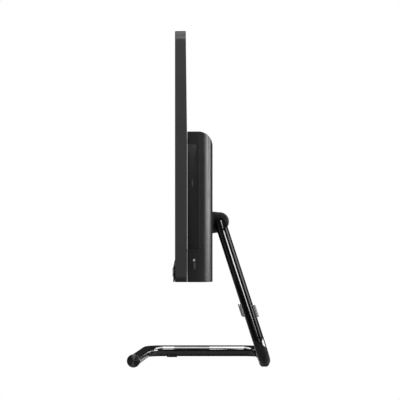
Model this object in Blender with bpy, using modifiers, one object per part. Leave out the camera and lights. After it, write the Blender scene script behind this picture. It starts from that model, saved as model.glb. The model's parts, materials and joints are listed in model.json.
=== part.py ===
"""All-in-one computer on a bent-tube stand, as an assembly of separate solids.

Units are metres and +Z is up. The screen faces -Y, and +X is the side with the optical drive.
The origin is on the floor, under the middle of the whole object.
"""

import math

import bmesh
import bpy
from mathutils import Euler, Matrix, Vector

MM = 0.001
GAP = 0.3 * MM  # clearance that touching pieces keep

# Display slab
SLAB_HALF_WIDTH = 244 * MM
SLAB_BOTTOM = 117 * MM
SLAB_TOP = 426 * MM
SLAB_FRONT = -30 * MM
SLAB_BACK = -15.2 * MM
SLAB_TOP_THICKNESS = 13.3 * MM
SLAB_WALL = 2.2 * MM
SLAB_CAVITY_BACK = -18.7 * MM
TOP_CORNER_RADIUS = 12 * MM
BOTTOM_CORNER_RADIUS = 8 * MM

# Screen and speaker bar
SCREEN_HALF_WIDTH = 216.95 * MM
SCREEN_BOTTOM = 163.2 * MM
SCREEN_TOP = 399.5 * MM
BEZEL_THICKNESS = 2 * MM
SPEAKER_BAR_TOP = 136.8 * MM
SPEAKER_BAR_FRONT = -32.2 * MM
SPEAKER_X = 165 * MM
WEBCAM_Z = 412.5 * MM

# Rear housing
HOUSING_HALF_WIDTH = 212 * MM
HOUSING_FRONT = SLAB_BACK + GAP
HOUSING_BACK = 16.7 * MM
HOUSING_BOTTOM = 116 * MM
HOUSING_TOP = 303.2 * MM
HOUSING_WALL = 2.2 * MM
HOUSING_ROUNDING = 18 * MM
HOUSING_SCREWS = [(x, z) for x in (-180 * MM, 180 * MM) for z in (130 * MM, 277 * MM)]
HOUSING_SCREW_HEAD = (3 * MM, 1 * MM)
HOUSING_SCREW_RECESS = 1.4 * MM

# Optical drive
DRIVE_BOTTOM = 157.8 * MM
DRIVE_TOP = 287.5 * MM
DRIVE_FRONT = -14.8 * MM
DRIVE_BACK = -2.4 * MM
DRIVE_DEPTH = 123 * MM
BEZEL_DEPTH = 2.5 * MM
DISC_RADIUS = 60 * MM
DISC_CENTRE_X = 147 * MM
DISC_CENTRE_Z = (DRIVE_BOTTOM + DRIVE_TOP) / 2
EJECT_Y = -8.9 * MM
EJECT_Z = 239 * MM
TRAY_FRONT = DRIVE_FRONT + 1.3 * MM
TRAY_BACK = DRIVE_BACK - 1.3 * MM
SLED_WINDOW_LEFT = 92 * MM

# Power button and lamp, on the +X side
BUTTON_Y = -6.4 * MM
BUTTON_Z = 135.9 * MM
BUTTON_WIDTH = 3.3 * MM
BUTTON_HEIGHT = 9.2 * MM
LAMP_Z = 143.1 * MM
LAMP_RADIUS = 1.5 * MM

# Motherboard and rear sockets
BOARD_FRONT = -10.5 * MM
BOARD_BACK = -8.9 * MM
BOARD_X = (-95 * MM, 75 * MM)
BOARD_Z = (125 * MM, 295 * MM)
SOCKET_Z = 132 * MM
FAN_X = -160 * MM
FAN_Z = 236 * MM

# Sockets
ETHERNET_X = -62 * MM
HDMI_X = -36 * MM
USB_REAR_X = (-12 * MM, 10 * MM)
DC_JACK_X = 40 * MM
SIDE_SOCKET_Y = -3 * MM
USB_SIDE_Z = (182 * MM, 204 * MM)
CARD_SLOT_Z = 228 * MM
AUDIO_Z = (250 * MM, 262 * MM)
USB_MOUTH = (12.5 * MM, 5.2 * MM)
# Openings in the housing for the sockets: middle, width, height
REAR_WINDOWS = [
    (ETHERNET_X, 13.4 * MM, 9.6 * MM),
    (HDMI_X, 15.6 * MM, 6.2 * MM),
    (USB_REAR_X[0], 14.2 * MM, 6.8 * MM),
    (USB_REAR_X[1], 14.2 * MM, 6.8 * MM),
]
SIDE_WINDOWS = [
    (USB_SIDE_Z[0], 14.2 * MM, 6.8 * MM),
    (USB_SIDE_Z[1], 14.2 * MM, 6.8 * MM),
    (CARD_SLOT_Z, 26 * MM, 3.6 * MM),
]

# Tilt hinge
HINGE_Y = 28.3 * MM
HINGE_Z = 189.8 * MM
BRACKET_HALF_WIDTH = 22 * MM
KNUCKLE_RADIUS = 12.4 * MM
BORE_RADIUS = 9.9 * MM
HINGE_SCREWS = [(x, z) for x in (-14 * MM, 14 * MM) for z in (178.6 * MM, 200.4 * MM)]

# Stand tube
TUBE_RADIUS = 7.6 * MM
TUBE_WALL = 1.5 * MM
TUBE_BEND_RADIUS = 24 * MM
END_CAP_RADIUS = 8.65 * MM
BASE_Z = END_CAP_RADIUS
BASE_HALF_WIDTH = 106 * MM
BASE_BACK = 86.1 * MM
BASE_FRONT = -70.2 * MM
FOOT_END = Vector((82 * MM, -85 * MM, BASE_Z))
LEG_TOP_X = 41 * MM
TUBE_END_X = -22.3 * MM
CLIP_Z = 74 * MM
CLIP_LENGTH = 17 * MM

FACING_BACK = (math.radians(-90), 0, 0)  # turns local +Z to +Y
FACING_FRONT = (math.radians(90), 0, 0)  # turns local +Z to -Y
FACING_RIGHT = (0, math.radians(90), 0)  # turns local +Z to +X
FACING_LEFT = (0, math.radians(-90), 0)  # turns local +Z to -X
FRONT_PLANE = (math.radians(90), 0, 0)  # an XY outline stands up in XZ
SIDE_PLANE = (math.radians(90), 0, math.radians(90))  # an XY outline stands up in YZ

for leftover in list(bpy.data.objects):
    bpy.data.objects.remove(leftover)

PARTS = bpy.data.collections.new("all_in_one_pc")
CUTTERS = bpy.data.collections.new("cutters")
bpy.context.scene.collection.children.link(PARTS)
bpy.context.scene.collection.children.link(CUTTERS)


# ---------------------------------------------------------------- materials


def make_material(name, colour, roughness, metallic=0.0):
    material = bpy.data.materials.new(name)
    material.use_nodes = True
    shader = material.node_tree.nodes["Principled BSDF"]
    shader.inputs["Base Color"].default_value = (*colour, 1.0)
    shader.inputs["Roughness"].default_value = roughness
    shader.inputs["Metallic"].default_value = metallic
    return material


BLACK_SHELL = make_material("black_shell", (0.030, 0.030, 0.032), 0.42)
DARK_SHELL = make_material("dark_shell", (0.012, 0.012, 0.013), 0.38)
GLOSS_BLACK = make_material("gloss_black", (0.006, 0.006, 0.007), 0.08)
RUBBER = make_material("rubber", (0.020, 0.020, 0.020), 0.85)
GLASS = make_material("screen_glass", (0.008, 0.009, 0.012), 0.12)
STEEL = make_material("steel", (0.45, 0.46, 0.47), 0.35, 1.0)
ALUMINIUM = make_material("aluminium", (0.62, 0.63, 0.64), 0.32, 1.0)
COPPER = make_material("copper", (0.72, 0.36, 0.20), 0.28, 1.0)
GREEN_BOARD = make_material("circuit_board", (0.010, 0.075, 0.030), 0.45)
LAMP = make_material("lamp_lens", (0.85, 0.88, 0.90), 0.20)
CLIP_PLASTIC = make_material("clip_plastic", (0.55, 0.56, 0.57), 0.35)


# ---------------------------------------------------------------- shape helpers


def place(name, mesh, material, location=(0, 0, 0), rotation=(0, 0, 0)):
    """Adds a mesh as an object of the assembly."""
    obj = bpy.data.objects.new(name, mesh)
    obj.location = location
    obj.rotation_euler = rotation
    mesh.materials.clear()
    mesh.materials.append(material)
    PARTS.objects.link(obj)
    return obj


def as_cutter(obj):
    """Turns an object of the assembly into a tool that cuts or joins others."""
    PARTS.objects.unlink(obj)
    CUTTERS.objects.link(obj)
    obj.hide_render = True
    obj.display_type = "WIRE"
    return obj


def cut(obj, tool, operation="DIFFERENCE"):
    modifier = obj.modifiers.new(tool.name, "BOOLEAN")
    modifier.operation = operation
    modifier.solver = "EXACT"
    modifier.object = tool


def join(obj, tool):
    cut(obj, tool, "UNION")


def round_edges(obj, width, segments=2, angle=50):
    modifier = obj.modifiers.new("rounded_edges", "BEVEL")
    modifier.width = width
    modifier.segments = segments
    modifier.limit_method = "ANGLE"
    modifier.angle_limit = math.radians(angle)


def smooth(mesh, angle=35):
    mesh.shade_smooth()
    mesh.set_sharp_from_angle(angle=math.radians(angle))


def blocks(name, corners, material, origin=(0, 0, 0)):
    """One object of separate boxes, each given by its lowest and highest corner."""
    mesh = bpy.data.meshes.new(name)
    shape = bmesh.new()
    for low, high in corners:
        low, high = Vector(low), Vector(high)
        size = Matrix.Diagonal((*(high - low), 1.0))
        middle = Matrix.Translation((low + high) / 2 - Vector(origin))
        bmesh.ops.create_cube(shape, size=1.0, matrix=middle @ size)
    shape.to_mesh(mesh)
    shape.free()
    return place(name, mesh, material, origin)


def box(name, low, high, material, rounding=0.0, segments=2):
    origin = (Vector(low) + Vector(high)) / 2
    obj = blocks(name, [(low, high)], material, origin)
    if rounding:
        round_edges(obj, rounding, segments)
    return obj


def cylinders(name, centres, radius, length, rotation, material, sides=24):
    """One object of equal cylinders with parallel axes, whose origin is the first one's centre."""
    mesh = bpy.data.meshes.new(name)
    shape = bmesh.new()
    origin = Vector(centres[0])
    turn = Euler(rotation).to_matrix()
    for centre in centres:
        offset = turn.inverted() @ (Vector(centre) - origin)
        bmesh.ops.create_cone(
            shape,
            cap_ends=True,
            segments=sides,
            radius1=radius,
            radius2=radius,
            depth=length,
            matrix=Matrix.Translation(offset),
        )
    shape.to_mesh(mesh)
    shape.free()
    smooth(mesh)
    return place(name, mesh, material, origin, rotation)


def mesh_from_curve(name, curve, material, location, rotation):
    """Replaces a curve by a welded mesh of the same shape, so that it can be cut."""
    curve_object = bpy.data.objects.new(name + "_curve", curve)
    curve_object.location = location
    curve_object.rotation_euler = rotation
    PARTS.objects.link(curve_object)
    graph = bpy.context.evaluated_depsgraph_get()
    graph.update()
    mesh = bpy.data.meshes.new_from_object(curve_object.evaluated_get(graph))
    mesh.name = name
    shape = bmesh.new()
    shape.from_mesh(mesh)
    bmesh.ops.remove_doubles(shape, verts=shape.verts, dist=0.01 * MM)
    bmesh.ops.recalc_face_normals(shape, faces=shape.faces)
    shape.to_mesh(mesh)
    shape.free()
    smooth(mesh)
    obj = place(name, mesh, material)
    obj.matrix_world = curve_object.matrix_world
    bpy.data.objects.remove(curve_object)
    return obj


def plate(name, outlines, thickness, material, location, rotation):
    """A flat outline, with any holes, given a thickness along its local Z."""
    curve = bpy.data.curves.new(name, "CURVE")
    curve.dimensions = "2D"
    curve.fill_mode = "BOTH"
    curve.extrude = thickness / 2
    for outline in outlines:
        spline = curve.splines.new("POLY")
        spline.points.add(len(outline) - 1)
        for point, (x, y) in zip(spline.points, outline):
            point.co = (x, y, 0, 1)
        spline.use_cyclic_u = True
    return mesh_from_curve(name, curve, material, location, rotation)


def arc(centre, radius, start, end, steps):
    """Points on a circle from one angle to another, in degrees."""
    points = []
    for step in range(steps + 1):
        angle = math.radians(start + (end - start) * step / steps)
        x = centre[0] + radius * math.cos(angle)
        y = centre[1] + radius * math.sin(angle)
        points.append((x, y))
    return points


def circle(centre, radius, sides=32):
    return arc(centre, radius, 0, 360 - 360 / sides, sides - 1)


def rounded_rectangle(low, high, bottom_radius, top_radius, steps=5):
    left, bottom = low
    right, top = high
    points = arc((right - top_radius, top - top_radius), top_radius, 0, 90, steps)
    points += arc((left + top_radius, top - top_radius), top_radius, 90, 180, steps)
    points += arc((left + bottom_radius, bottom + bottom_radius), bottom_radius, 180, 270, steps)
    points += arc((right - bottom_radius, bottom + bottom_radius), bottom_radius, 270, 360, steps)
    return points


def pill(centre, width, height, steps=6):
    x, y = centre
    rise = (height - width) / 2
    points = arc((x, y + rise), width / 2, 0, 180, steps)
    points += arc((x, y - rise), width / 2, 180, 360, steps)
    return points


def turned(name, profile, material, location, rotation, steps=32):
    """A profile of (radius, height) pairs, from the top down, turned about local Z."""
    mesh = bpy.data.meshes.new(name)
    points = [(radius, 0, height) for radius, height in profile]
    edges = [(index, index + 1) for index in range(len(points) - 1)]
    mesh.from_pydata(points, edges, [])
    obj = place(name, mesh, material, location, rotation)
    screw = obj.modifiers.new("turn", "SCREW")
    screw.axis = "Z"
    screw.angle = math.radians(360)
    screw.steps = steps
    screw.render_steps = steps
    screw.use_merge_vertices = True
    screw.merge_threshold = 0.01 * MM
    screw.use_smooth_shade = True
    return obj


def bent_path(corners, radius, steps):
    """Points along straight runs whose corners are rounded by arcs of the given radius."""
    points = [corners[0]]
    for before, corner, after in zip(corners, corners[1:], corners[2:]):
        way_in = (corner - before).normalized()
        way_out = (after - corner).normalized()
        turning = way_in.angle(way_out)
        setback = radius * math.tan(turning / 2)
        inward = (way_out - way_in).normalized()
        centre = corner + inward * radius / math.cos(turning / 2)
        spoke = corner - way_in * setback - centre
        axis = way_in.cross(way_out).normalized()
        for step in range(steps + 1):
            turn = Matrix.Rotation(turning * step / steps, 3, axis)
            points.append(centre + turn @ spoke)
    points.append(corners[-1])
    return points


def tube(name, points, radius, material, resolution=4, caps=True):
    """A round bar along a path."""
    curve = bpy.data.curves.new(name, "CURVE")
    curve.dimensions = "3D"
    curve.bevel_depth = radius
    curve.bevel_resolution = resolution
    curve.use_fill_caps = caps
    spline = curve.splines.new("POLY")
    spline.points.add(len(points) - 1)
    for point, place_at in zip(spline.points, points):
        point.co = (*place_at, 1)
    return mesh_from_curve(name, curve, material, (0, 0, 0), (0, 0, 0))


# ---------------------------------------------------------------- display slab


def make_panel_shell():
    outline = rounded_rectangle(
        (-SLAB_HALF_WIDTH, SLAB_BOTTOM),
        (SLAB_HALF_WIDTH, SLAB_TOP),
        BOTTOM_CORNER_RADIUS,
        TOP_CORNER_RADIUS,
    )
    thickness = SLAB_BACK - SLAB_FRONT
    middle = (0, (SLAB_BACK + SLAB_FRONT) / 2, 0)
    shell = plate("panel_shell", [outline], thickness, BLACK_SHELL, middle, FRONT_PLANE)
    round_edges(shell, 0.8 * MM, 1, 60)

    inner = rounded_rectangle(
        (-SLAB_HALF_WIDTH + SLAB_WALL, SLAB_BOTTOM + SLAB_WALL),
        (SLAB_HALF_WIDTH - SLAB_WALL, SLAB_TOP - SLAB_WALL),
        BOTTOM_CORNER_RADIUS - SLAB_WALL,
        TOP_CORNER_RADIUS - SLAB_WALL,
    )
    mouth = SLAB_FRONT - 5 * MM
    depth = SLAB_CAVITY_BACK - mouth
    middle = (0, (SLAB_CAVITY_BACK + mouth) / 2, 0)
    cavity = plate("slab_cavity", [inner], depth, BLACK_SHELL, middle, FRONT_PLANE)
    cut(shell, as_cutter(cavity))

    # The back slopes forward from the top of the rear housing to the top edge.
    rise = SLAB_TOP - HOUSING_TOP
    slope = math.atan((thickness - SLAB_TOP_THICKNESS) / rise)
    wedge = blocks(
        "slab_slope",
        [((-260 * MM, 0, 0), (260 * MM, 20 * MM, 2 * rise))],
        BLACK_SHELL,
    )
    wedge.location = (0, SLAB_BACK, HOUSING_TOP)
    wedge.rotation_euler = (slope, 0, 0)
    cut(shell, as_cutter(wedge))


def make_front_bezel():
    inset = SLAB_WALL + GAP
    outer = rounded_rectangle(
        (-SLAB_HALF_WIDTH + inset, SPEAKER_BAR_TOP + GAP),
        (SLAB_HALF_WIDTH - inset, SLAB_TOP - inset),
        1 * MM,
        TOP_CORNER_RADIUS - inset,
    )
    window = [
        (-SCREEN_HALF_WIDTH, SCREEN_BOTTOM),
        (SCREEN_HALF_WIDTH, SCREEN_BOTTOM),
        (SCREEN_HALF_WIDTH, SCREEN_TOP),
        (-SCREEN_HALF_WIDTH, SCREEN_TOP),
    ]
    camera_hole = circle((0, WEBCAM_Z), 3.4 * MM, 20)
    front = SLAB_FRONT + GAP
    middle = (0, front + BEZEL_THICKNESS / 2, 0)
    outlines = [outer, window, camera_hole]
    bezel = plate("front_bezel", outlines, BEZEL_THICKNESS, DARK_SHELL, middle, FRONT_PLANE)
    round_edges(bezel, 0.5 * MM, 1, 60)


def make_screen():
    glass_front = SLAB_FRONT + 2 * GAP + BEZEL_THICKNESS
    glass_back = glass_front + 1.2 * MM
    margin = 3 * MM
    box(
        "lcd_glass",
        (-SCREEN_HALF_WIDTH - margin, glass_front, SCREEN_BOTTOM - margin),
        (SCREEN_HALF_WIDTH + margin, glass_back, SCREEN_TOP + margin),
        GLASS,
    )
    margin = 5 * MM
    box(
        "lcd_module",
        (-SCREEN_HALF_WIDTH - margin, glass_back + GAP, SCREEN_BOTTOM - margin),
        (SCREEN_HALF_WIDTH + margin, SLAB_CAVITY_BACK - GAP, SCREEN_TOP + margin),
        ALUMINIUM,
        0.8 * MM,
    )
    box(
        "panel_board",
        (-80 * MM, -25 * MM, 140 * MM),
        (80 * MM, -23.4 * MM, 155 * MM),
        GREEN_BOARD,
    )


def make_speaker_bar():
    front = box(
        "speaker_bar",
        (-SLAB_HALF_WIDTH + 0.4 * MM, SPEAKER_BAR_FRONT, SLAB_BOTTOM + 0.3 * MM),
        (SLAB_HALF_WIDTH - 0.4 * MM, SLAB_FRONT - GAP, SPEAKER_BAR_TOP),
        GLOSS_BLACK,
        1.2 * MM,
    )
    inset = SLAB_WALL + GAP
    carrier = box(
        "speaker_carrier",
        (-SLAB_HALF_WIDTH + 9 * MM, SLAB_FRONT - 0.6 * MM, SLAB_BOTTOM + inset),
        (SLAB_HALF_WIDTH - 9 * MM, SLAB_FRONT + 2 * MM, SPEAKER_BAR_TOP - GAP),
        GLOSS_BLACK,
    )
    join(front, as_cutter(carrier))
    slots = []
    for side in (-1, 1):
        for index in range(14):
            x = side * SPEAKER_X + (index - 6.5) * 4 * MM
            low = (x - 0.8 * MM, -40 * MM, 122.5 * MM)
            high = (x + 0.8 * MM, -20 * MM, 131.5 * MM)
            slots.append((low, high))
    cut(front, as_cutter(blocks("speaker_slots", slots, GLOSS_BLACK)))


def make_speaker(name, x):
    low = (x - 32 * MM, SLAB_FRONT + 2.3 * MM, 120 * MM)
    high = (x + 32 * MM, SLAB_CAVITY_BACK - GAP, 136 * MM)
    speaker = box(name, low, high, DARK_SHELL, 0.8 * MM)
    centre = (x, low[1], 127 * MM)
    recess = cylinders(name + "_cone", [centre], 6 * MM, 6 * MM, FACING_BACK, DARK_SHELL)
    cut(speaker, as_cutter(recess))


def make_webcam():
    profile = [
        (0, 0.9 * MM),
        (1.6 * MM, 0.9 * MM),
        (2.4 * MM, 1.5 * MM),
        (3.1 * MM, 1.5 * MM),
        (3.1 * MM, -1.2 * MM),
        (6 * MM, -1.2 * MM),
        (6 * MM, -5 * MM),
        (0, -5 * MM),
    ]
    place_at = (0, SLAB_FRONT + 1.6 * MM, WEBCAM_Z)
    turned("webcam_module", profile, GLOSS_BLACK, place_at, FACING_FRONT, 24)


# ---------------------------------------------------------------- rear housing


def housing_block(name, inset, front, rounding):
    """The housing's outer or inner form: a box whose rear top and rear side edges are rounded."""
    low = Vector((-HOUSING_HALF_WIDTH + inset, front, HOUSING_BOTTOM + inset))
    high = Vector((HOUSING_HALF_WIDTH - inset, HOUSING_BACK - inset, HOUSING_TOP - inset))
    obj = box(name, low, high, BLACK_SHELL)
    shape = bmesh.new()
    shape.from_mesh(obj.data)
    edges = []
    for edge in shape.edges:
        at_back = all(vert.co.y > 0 for vert in edge.verts)
        at_bottom = all(vert.co.z < 0 for vert in edge.verts)
        if at_back and not at_bottom:
            edges.append(edge)
    bmesh.ops.bevel(
        shape,
        geom=edges,
        offset=rounding,
        offset_type="OFFSET",
        segments=5,
        profile=0.5,
        affect="EDGES",
    )
    shape.to_mesh(obj.data)
    shape.free()
    smooth(obj.data)
    return obj


def vent_slots():
    """Slots in the top, in the bottom and behind the fan."""
    slots = []
    for index in range(30):
        x = (index - 14.5) * 13 * MM
        low = (x - 4.5 * MM, -11 * MM, HOUSING_TOP - 6 * MM)
        high = (x + 4.5 * MM, -8.5 * MM, HOUSING_TOP + 6 * MM)
        slots.append((low, high))
        lift = Vector((0, 5 * MM, 0))
        slots.append((Vector(low) + lift, Vector(high) + lift))
    for index in range(14):
        x = (index - 6.5) * 26 * MM
        low = (x - 8 * MM, -6 * MM, HOUSING_BOTTOM - 6 * MM)
        high = (x + 8 * MM, -3.5 * MM, HOUSING_BOTTOM + 6 * MM)
        slots.append((low, high))
    for index in range(9):
        z = FAN_Z + (index - 4) * 6.5 * MM
        half = math.sqrt((32 * MM) ** 2 - (z - FAN_Z) ** 2)
        low = (FAN_X - half, HOUSING_BACK - 8 * MM, z - 1.3 * MM)
        high = (FAN_X + half, HOUSING_BACK + 8 * MM, z + 1.3 * MM)
        slots.append((low, high))
    return slots


def housing_windows():
    """Cut-outs for the optical drive, the sockets and the lock slot."""
    right = HOUSING_HALF_WIDTH
    back = HOUSING_BACK
    windows = [
        (
            (right - 6 * MM, HOUSING_FRONT - 5 * MM, DRIVE_BOTTOM - GAP),
            (right + 6 * MM, DRIVE_BACK + GAP, DRIVE_TOP + GAP),
        ),
        (
            (150 * MM, back - 8 * MM, 132 * MM),
            (157 * MM, back + 8 * MM, 135 * MM),
        ),
    ]
    for x, width, height in REAR_WINDOWS:
        low = (x - width / 2, back - 8 * MM, SOCKET_Z - height / 2)
        high = (x + width / 2, back + 8 * MM, SOCKET_Z + height / 2)
        windows.append((low, high))
    for z, width, height in SIDE_WINDOWS:
        low = (-right - 6 * MM, SIDE_SOCKET_Y - height / 2, z - width / 2)
        high = (-right + 6 * MM, SIDE_SOCKET_Y + height / 2, z + width / 2)
        windows.append((low, high))
    return windows


def make_rear_housing():
    housing = housing_block("rear_housing", 0, HOUSING_FRONT, HOUSING_ROUNDING)
    round_edges(housing, 0.8 * MM, 1, 60)
    inner_rounding = HOUSING_ROUNDING - HOUSING_WALL
    cavity = housing_block("housing_cavity", HOUSING_WALL, HOUSING_FRONT - 10 * MM, inner_rounding)
    cut(housing, as_cutter(cavity))
    cut(housing, as_cutter(blocks("housing_windows", housing_windows(), BLACK_SHELL)))
    cut(housing, as_cutter(blocks("housing_vents", vent_slots(), BLACK_SHELL)))

    right = HOUSING_HALF_WIDTH
    hole = pill((BUTTON_Y, BUTTON_Z), BUTTON_WIDTH + 2 * GAP, BUTTON_HEIGHT + 2 * GAP)
    side = (right, 0, 0)
    button_hole = plate("button_hole", [hole], 12 * MM, BLACK_SHELL, side, SIDE_PLANE)
    cut(housing, as_cutter(button_hole))
    lamp = [(right, BUTTON_Y, LAMP_Z)]
    lamp_hole = cylinders(
        "lamp_hole", lamp, LAMP_RADIUS + 0.25 * MM, 12 * MM, FACING_RIGHT, BLACK_SHELL, 16
    )
    cut(housing, as_cutter(lamp_hole))

    back = HOUSING_BACK
    heads = [(x, back, z) for x, z in HOUSING_SCREWS]
    recess_radius = HOUSING_SCREW_HEAD[0] + GAP
    recesses = cylinders(
        "screw_recesses", heads, recess_radius, 2 * HOUSING_SCREW_RECESS, FACING_BACK, BLACK_SHELL, 16
    )
    cut(housing, as_cutter(recesses))
    screws = [(x, back, z) for x, z in HINGE_SCREWS + HOUSING_SCREWS]
    screw_holes = cylinders("screw_holes", screws, 1.9 * MM, 12 * MM, FACING_BACK, BLACK_SHELL, 12)
    cut(housing, as_cutter(screw_holes))
    dc_hole = cylinders(
        "dc_hole", [(DC_JACK_X, back, SOCKET_Z)], 4.4 * MM, 12 * MM, FACING_BACK, BLACK_SHELL
    )
    cut(housing, as_cutter(dc_hole))
    jacks = [(-right, SIDE_SOCKET_Y, z) for z in AUDIO_Z]
    audio_holes = cylinders("audio_holes", jacks, 3.2 * MM, 12 * MM, FACING_RIGHT, BLACK_SHELL, 20)
    cut(housing, as_cutter(audio_holes))


def make_screws(name, places, seat_y, facing, head, shank):
    """Equal screws along Y whose heads sit on one plane; head and shank are (radius, length)."""
    head_radius, head_length = head
    shank_radius, shank_length = shank
    profile = [
        (0, head_length),
        (head_radius - 0.5 * MM, head_length),
        (head_radius, head_length - 0.5 * MM),
        (head_radius, 0),
        (shank_radius, 0),
        (shank_radius, -shank_length),
        (0, -shank_length),
    ]
    for index, (x, z) in enumerate(places, start=1):
        turned(f"{name}_{index}", profile, STEEL, (x, seat_y, z), facing, 14)


# ---------------------------------------------------------------- electronics


def make_chassis_plate():
    """A steel plate with windows, and standoffs that carry the motherboard."""
    chassis_front = HOUSING_FRONT + GAP
    chassis_back = chassis_front + 1 * MM
    chassis = box(
        "chassis_plate",
        (-107 * MM, chassis_front, 121 * MM),
        (82 * MM, chassis_back, 299 * MM),
        STEEL,
    )
    windows = []
    for index in range(4):
        x = (-80 + 42 * index) * MM
        windows.append(((x, -20 * MM, 150 * MM), (x + 22 * MM, -10 * MM, 165 * MM)))
    cut(chassis, as_cutter(blocks("chassis_windows", windows, STEEL)))
    inset = 8 * MM
    places = []
    length = BOARD_FRONT - GAP - chassis_back + 0.4 * MM
    for x in (BOARD_X[0] + inset, BOARD_X[1] - inset):
        for z in (BOARD_Z[0] + inset, BOARD_Z[1] - inset):
            places.append((x, BOARD_FRONT - GAP - length / 2, z))
    standoffs = cylinders("board_standoffs", places, 3 * MM, length, FACING_BACK, STEEL, 6)
    join(chassis, as_cutter(standoffs))


def make_motherboard():
    board = box(
        "motherboard",
        (BOARD_X[0], BOARD_FRONT, BOARD_Z[0]),
        (BOARD_X[1], BOARD_BACK, BOARD_Z[1]),
        GREEN_BOARD,
    )
    base = BOARD_BACK - 0.4 * MM
    chips = [
        ((-36 * MM, base, 240 * MM), (-4 * MM, BOARD_BACK + 1.4 * MM, 272 * MM)),
        ((-30 * MM, base, 190 * MM), (-10 * MM, BOARD_BACK + 1.2 * MM, 210 * MM)),
        ((30 * MM, base, 190 * MM), (42 * MM, BOARD_BACK + 1 * MM, 206 * MM)),
        ((2 * MM, base, 150 * MM), (72 * MM, BOARD_BACK + 3 * MM, 156 * MM)),
        ((-86 * MM, base, 175 * MM), (-78 * MM, BOARD_BACK + 6 * MM, 225 * MM)),
    ]
    for index in range(6):
        z = (236 + 8 * index) * MM
        chips.append(((-60 * MM, base, z), (-54 * MM, BOARD_BACK + 4 * MM, z + 6 * MM)))
    join(board, as_cutter(blocks("board_chips", chips, GREEN_BOARD)))


def make_cards():
    card = box(
        "memory_module", (3.5 * MM, -5.4 * MM, 157 * MM), (71 * MM, -4.2 * MM, 187 * MM), GREEN_BOARD
    )
    chips = []
    for index in range(4):
        x = (8 + 16 * index) * MM
        chips.append(((x, -4.4 * MM, 168 * MM), (x + 11 * MM, -3.2 * MM, 182 * MM)))
    join(card, as_cutter(blocks("memory_chips", chips, GREEN_BOARD)))

    wireless = box(
        "wireless_card", (40 * MM, -7 * MM, 225 * MM), (62 * MM, -6 * MM, 255 * MM), GREEN_BOARD
    )
    shield = blocks(
        "wireless_shield",
        [((42 * MM, -6.2 * MM, 230 * MM), (60 * MM, -4.6 * MM, 250 * MM))],
        STEEL,
    )
    join(wireless, as_cutter(shield))
    cell = [(52 * MM, BOARD_BACK + GAP + 1.6 * MM, 275 * MM)]
    cylinders("coin_cell", cell, 10 * MM, 3.2 * MM, FACING_BACK, STEEL, 24)


def make_cooling():
    base = BOARD_BACK + 1.4 * MM + GAP
    sink = box(
        "cpu_heatsink", (-45 * MM, base, 232 * MM), (5 * MM, base + 2.5 * MM, 280 * MM), COPPER
    )
    round_edges(sink, 0.6 * MM)
    pipe_y = base + 2.5 * MM + GAP + 3 * MM
    corners = [
        Vector((-2 * MM, pipe_y, 256 * MM)),
        Vector((-78 * MM, pipe_y, 256 * MM)),
        Vector((-112 * MM, pipe_y, 287 * MM)),
        Vector((-192 * MM, pipe_y, 287 * MM)),
    ]
    tube("heat_pipe", bent_path(corners, 18 * MM, 4), 3 * MM, COPPER, 2)

    front = -13.5 * MM
    back = pipe_y - 3 * MM - GAP
    left = FAN_X - 34 * MM
    fins = []
    for index in range(18):
        x = left + 4 * index * MM
        fins.append(((x, front, 277 * MM), (x + 0.8 * MM, back, 299 * MM)))
    stack = blocks("fin_stack", fins, ALUMINIUM)
    spine = blocks(
        "fin_spine",
        [((left - 1 * MM, back - 1.2 * MM, 277 * MM), (left + 70 * MM, back - 0.01 * MM, 299 * MM))],
        ALUMINIUM,
    )
    join(stack, as_cutter(spine))
    make_fan(front, back)


def make_fan(front, back):
    """A blower: its chamber is open to the rear at the hub and upwards to the fins."""
    half = 37 * MM
    floor = front + 1.5 * MM
    lid = back - 1.2 * MM
    shroud = box(
        "fan_shroud",
        (FAN_X - half, front, FAN_Z - half),
        (FAN_X + half, back, FAN_Z + half),
        DARK_SHELL,
    )
    middle = [(FAN_X, (floor + lid) / 2, FAN_Z)]
    chamber = cylinders("fan_chamber", middle, 33 * MM, lid - floor, FACING_BACK, DARK_SHELL, 40)
    outlet = blocks(
        "fan_outlet",
        [
            (
                (FAN_X - 30 * MM, floor, FAN_Z + 5 * MM),
                (FAN_X + 30 * MM, lid, FAN_Z + half + 5 * MM),
            )
        ],
        DARK_SHELL,
    )
    join(chamber, as_cutter(outlet))
    cut(shroud, as_cutter(chamber))
    inlet = cylinders(
        "fan_inlet", [(FAN_X, back, FAN_Z)], 24 * MM, 6 * MM, FACING_BACK, DARK_SHELL, 32
    )
    cut(shroud, as_cutter(inlet))

    # Rotor: a hub with swept blades, as one toothed outline.
    blades = 15
    outline = []
    for index in range(blades):
        start = 360 / blades * index
        outline += arc((0, 0), 17 * MM, start, start + 12, 1)
        outline += arc((0, 0), 30 * MM, start + 24, start + 28, 1)
    thickness = lid - floor - 1.6 * MM
    plate("fan_rotor", [outline], thickness, DARK_SHELL, middle[0], FRONT_PLANE)


def make_hard_drive():
    carrier = box(
        "drive_bracket", (90 * MM, -1.9 * MM, 160 * MM), (200 * MM, -0.9 * MM, 240 * MM), STEEL
    )
    tabs = []
    for low_z in (160 * MM, 239 * MM):
        tabs.append(((90 * MM, -1.2 * MM, low_z), (200 * MM, 6 * MM, low_z + 1 * MM)))
    join(carrier, as_cutter(blocks("drive_tabs", tabs, STEEL)))
    box(
        "hard_drive",
        (95 * MM, -0.6 * MM, 165 * MM),
        (195 * MM, 8.9 * MM, 235 * MM),
        ALUMINIUM,
        1 * MM,
    )


def socket(name, low, high, pockets, material):
    """A block with one or more pockets that reach past its mouth."""
    obj = box(name, low, high, material)
    cut(obj, as_cutter(blocks(name + "_pockets", pockets, material)))
    return obj


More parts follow.
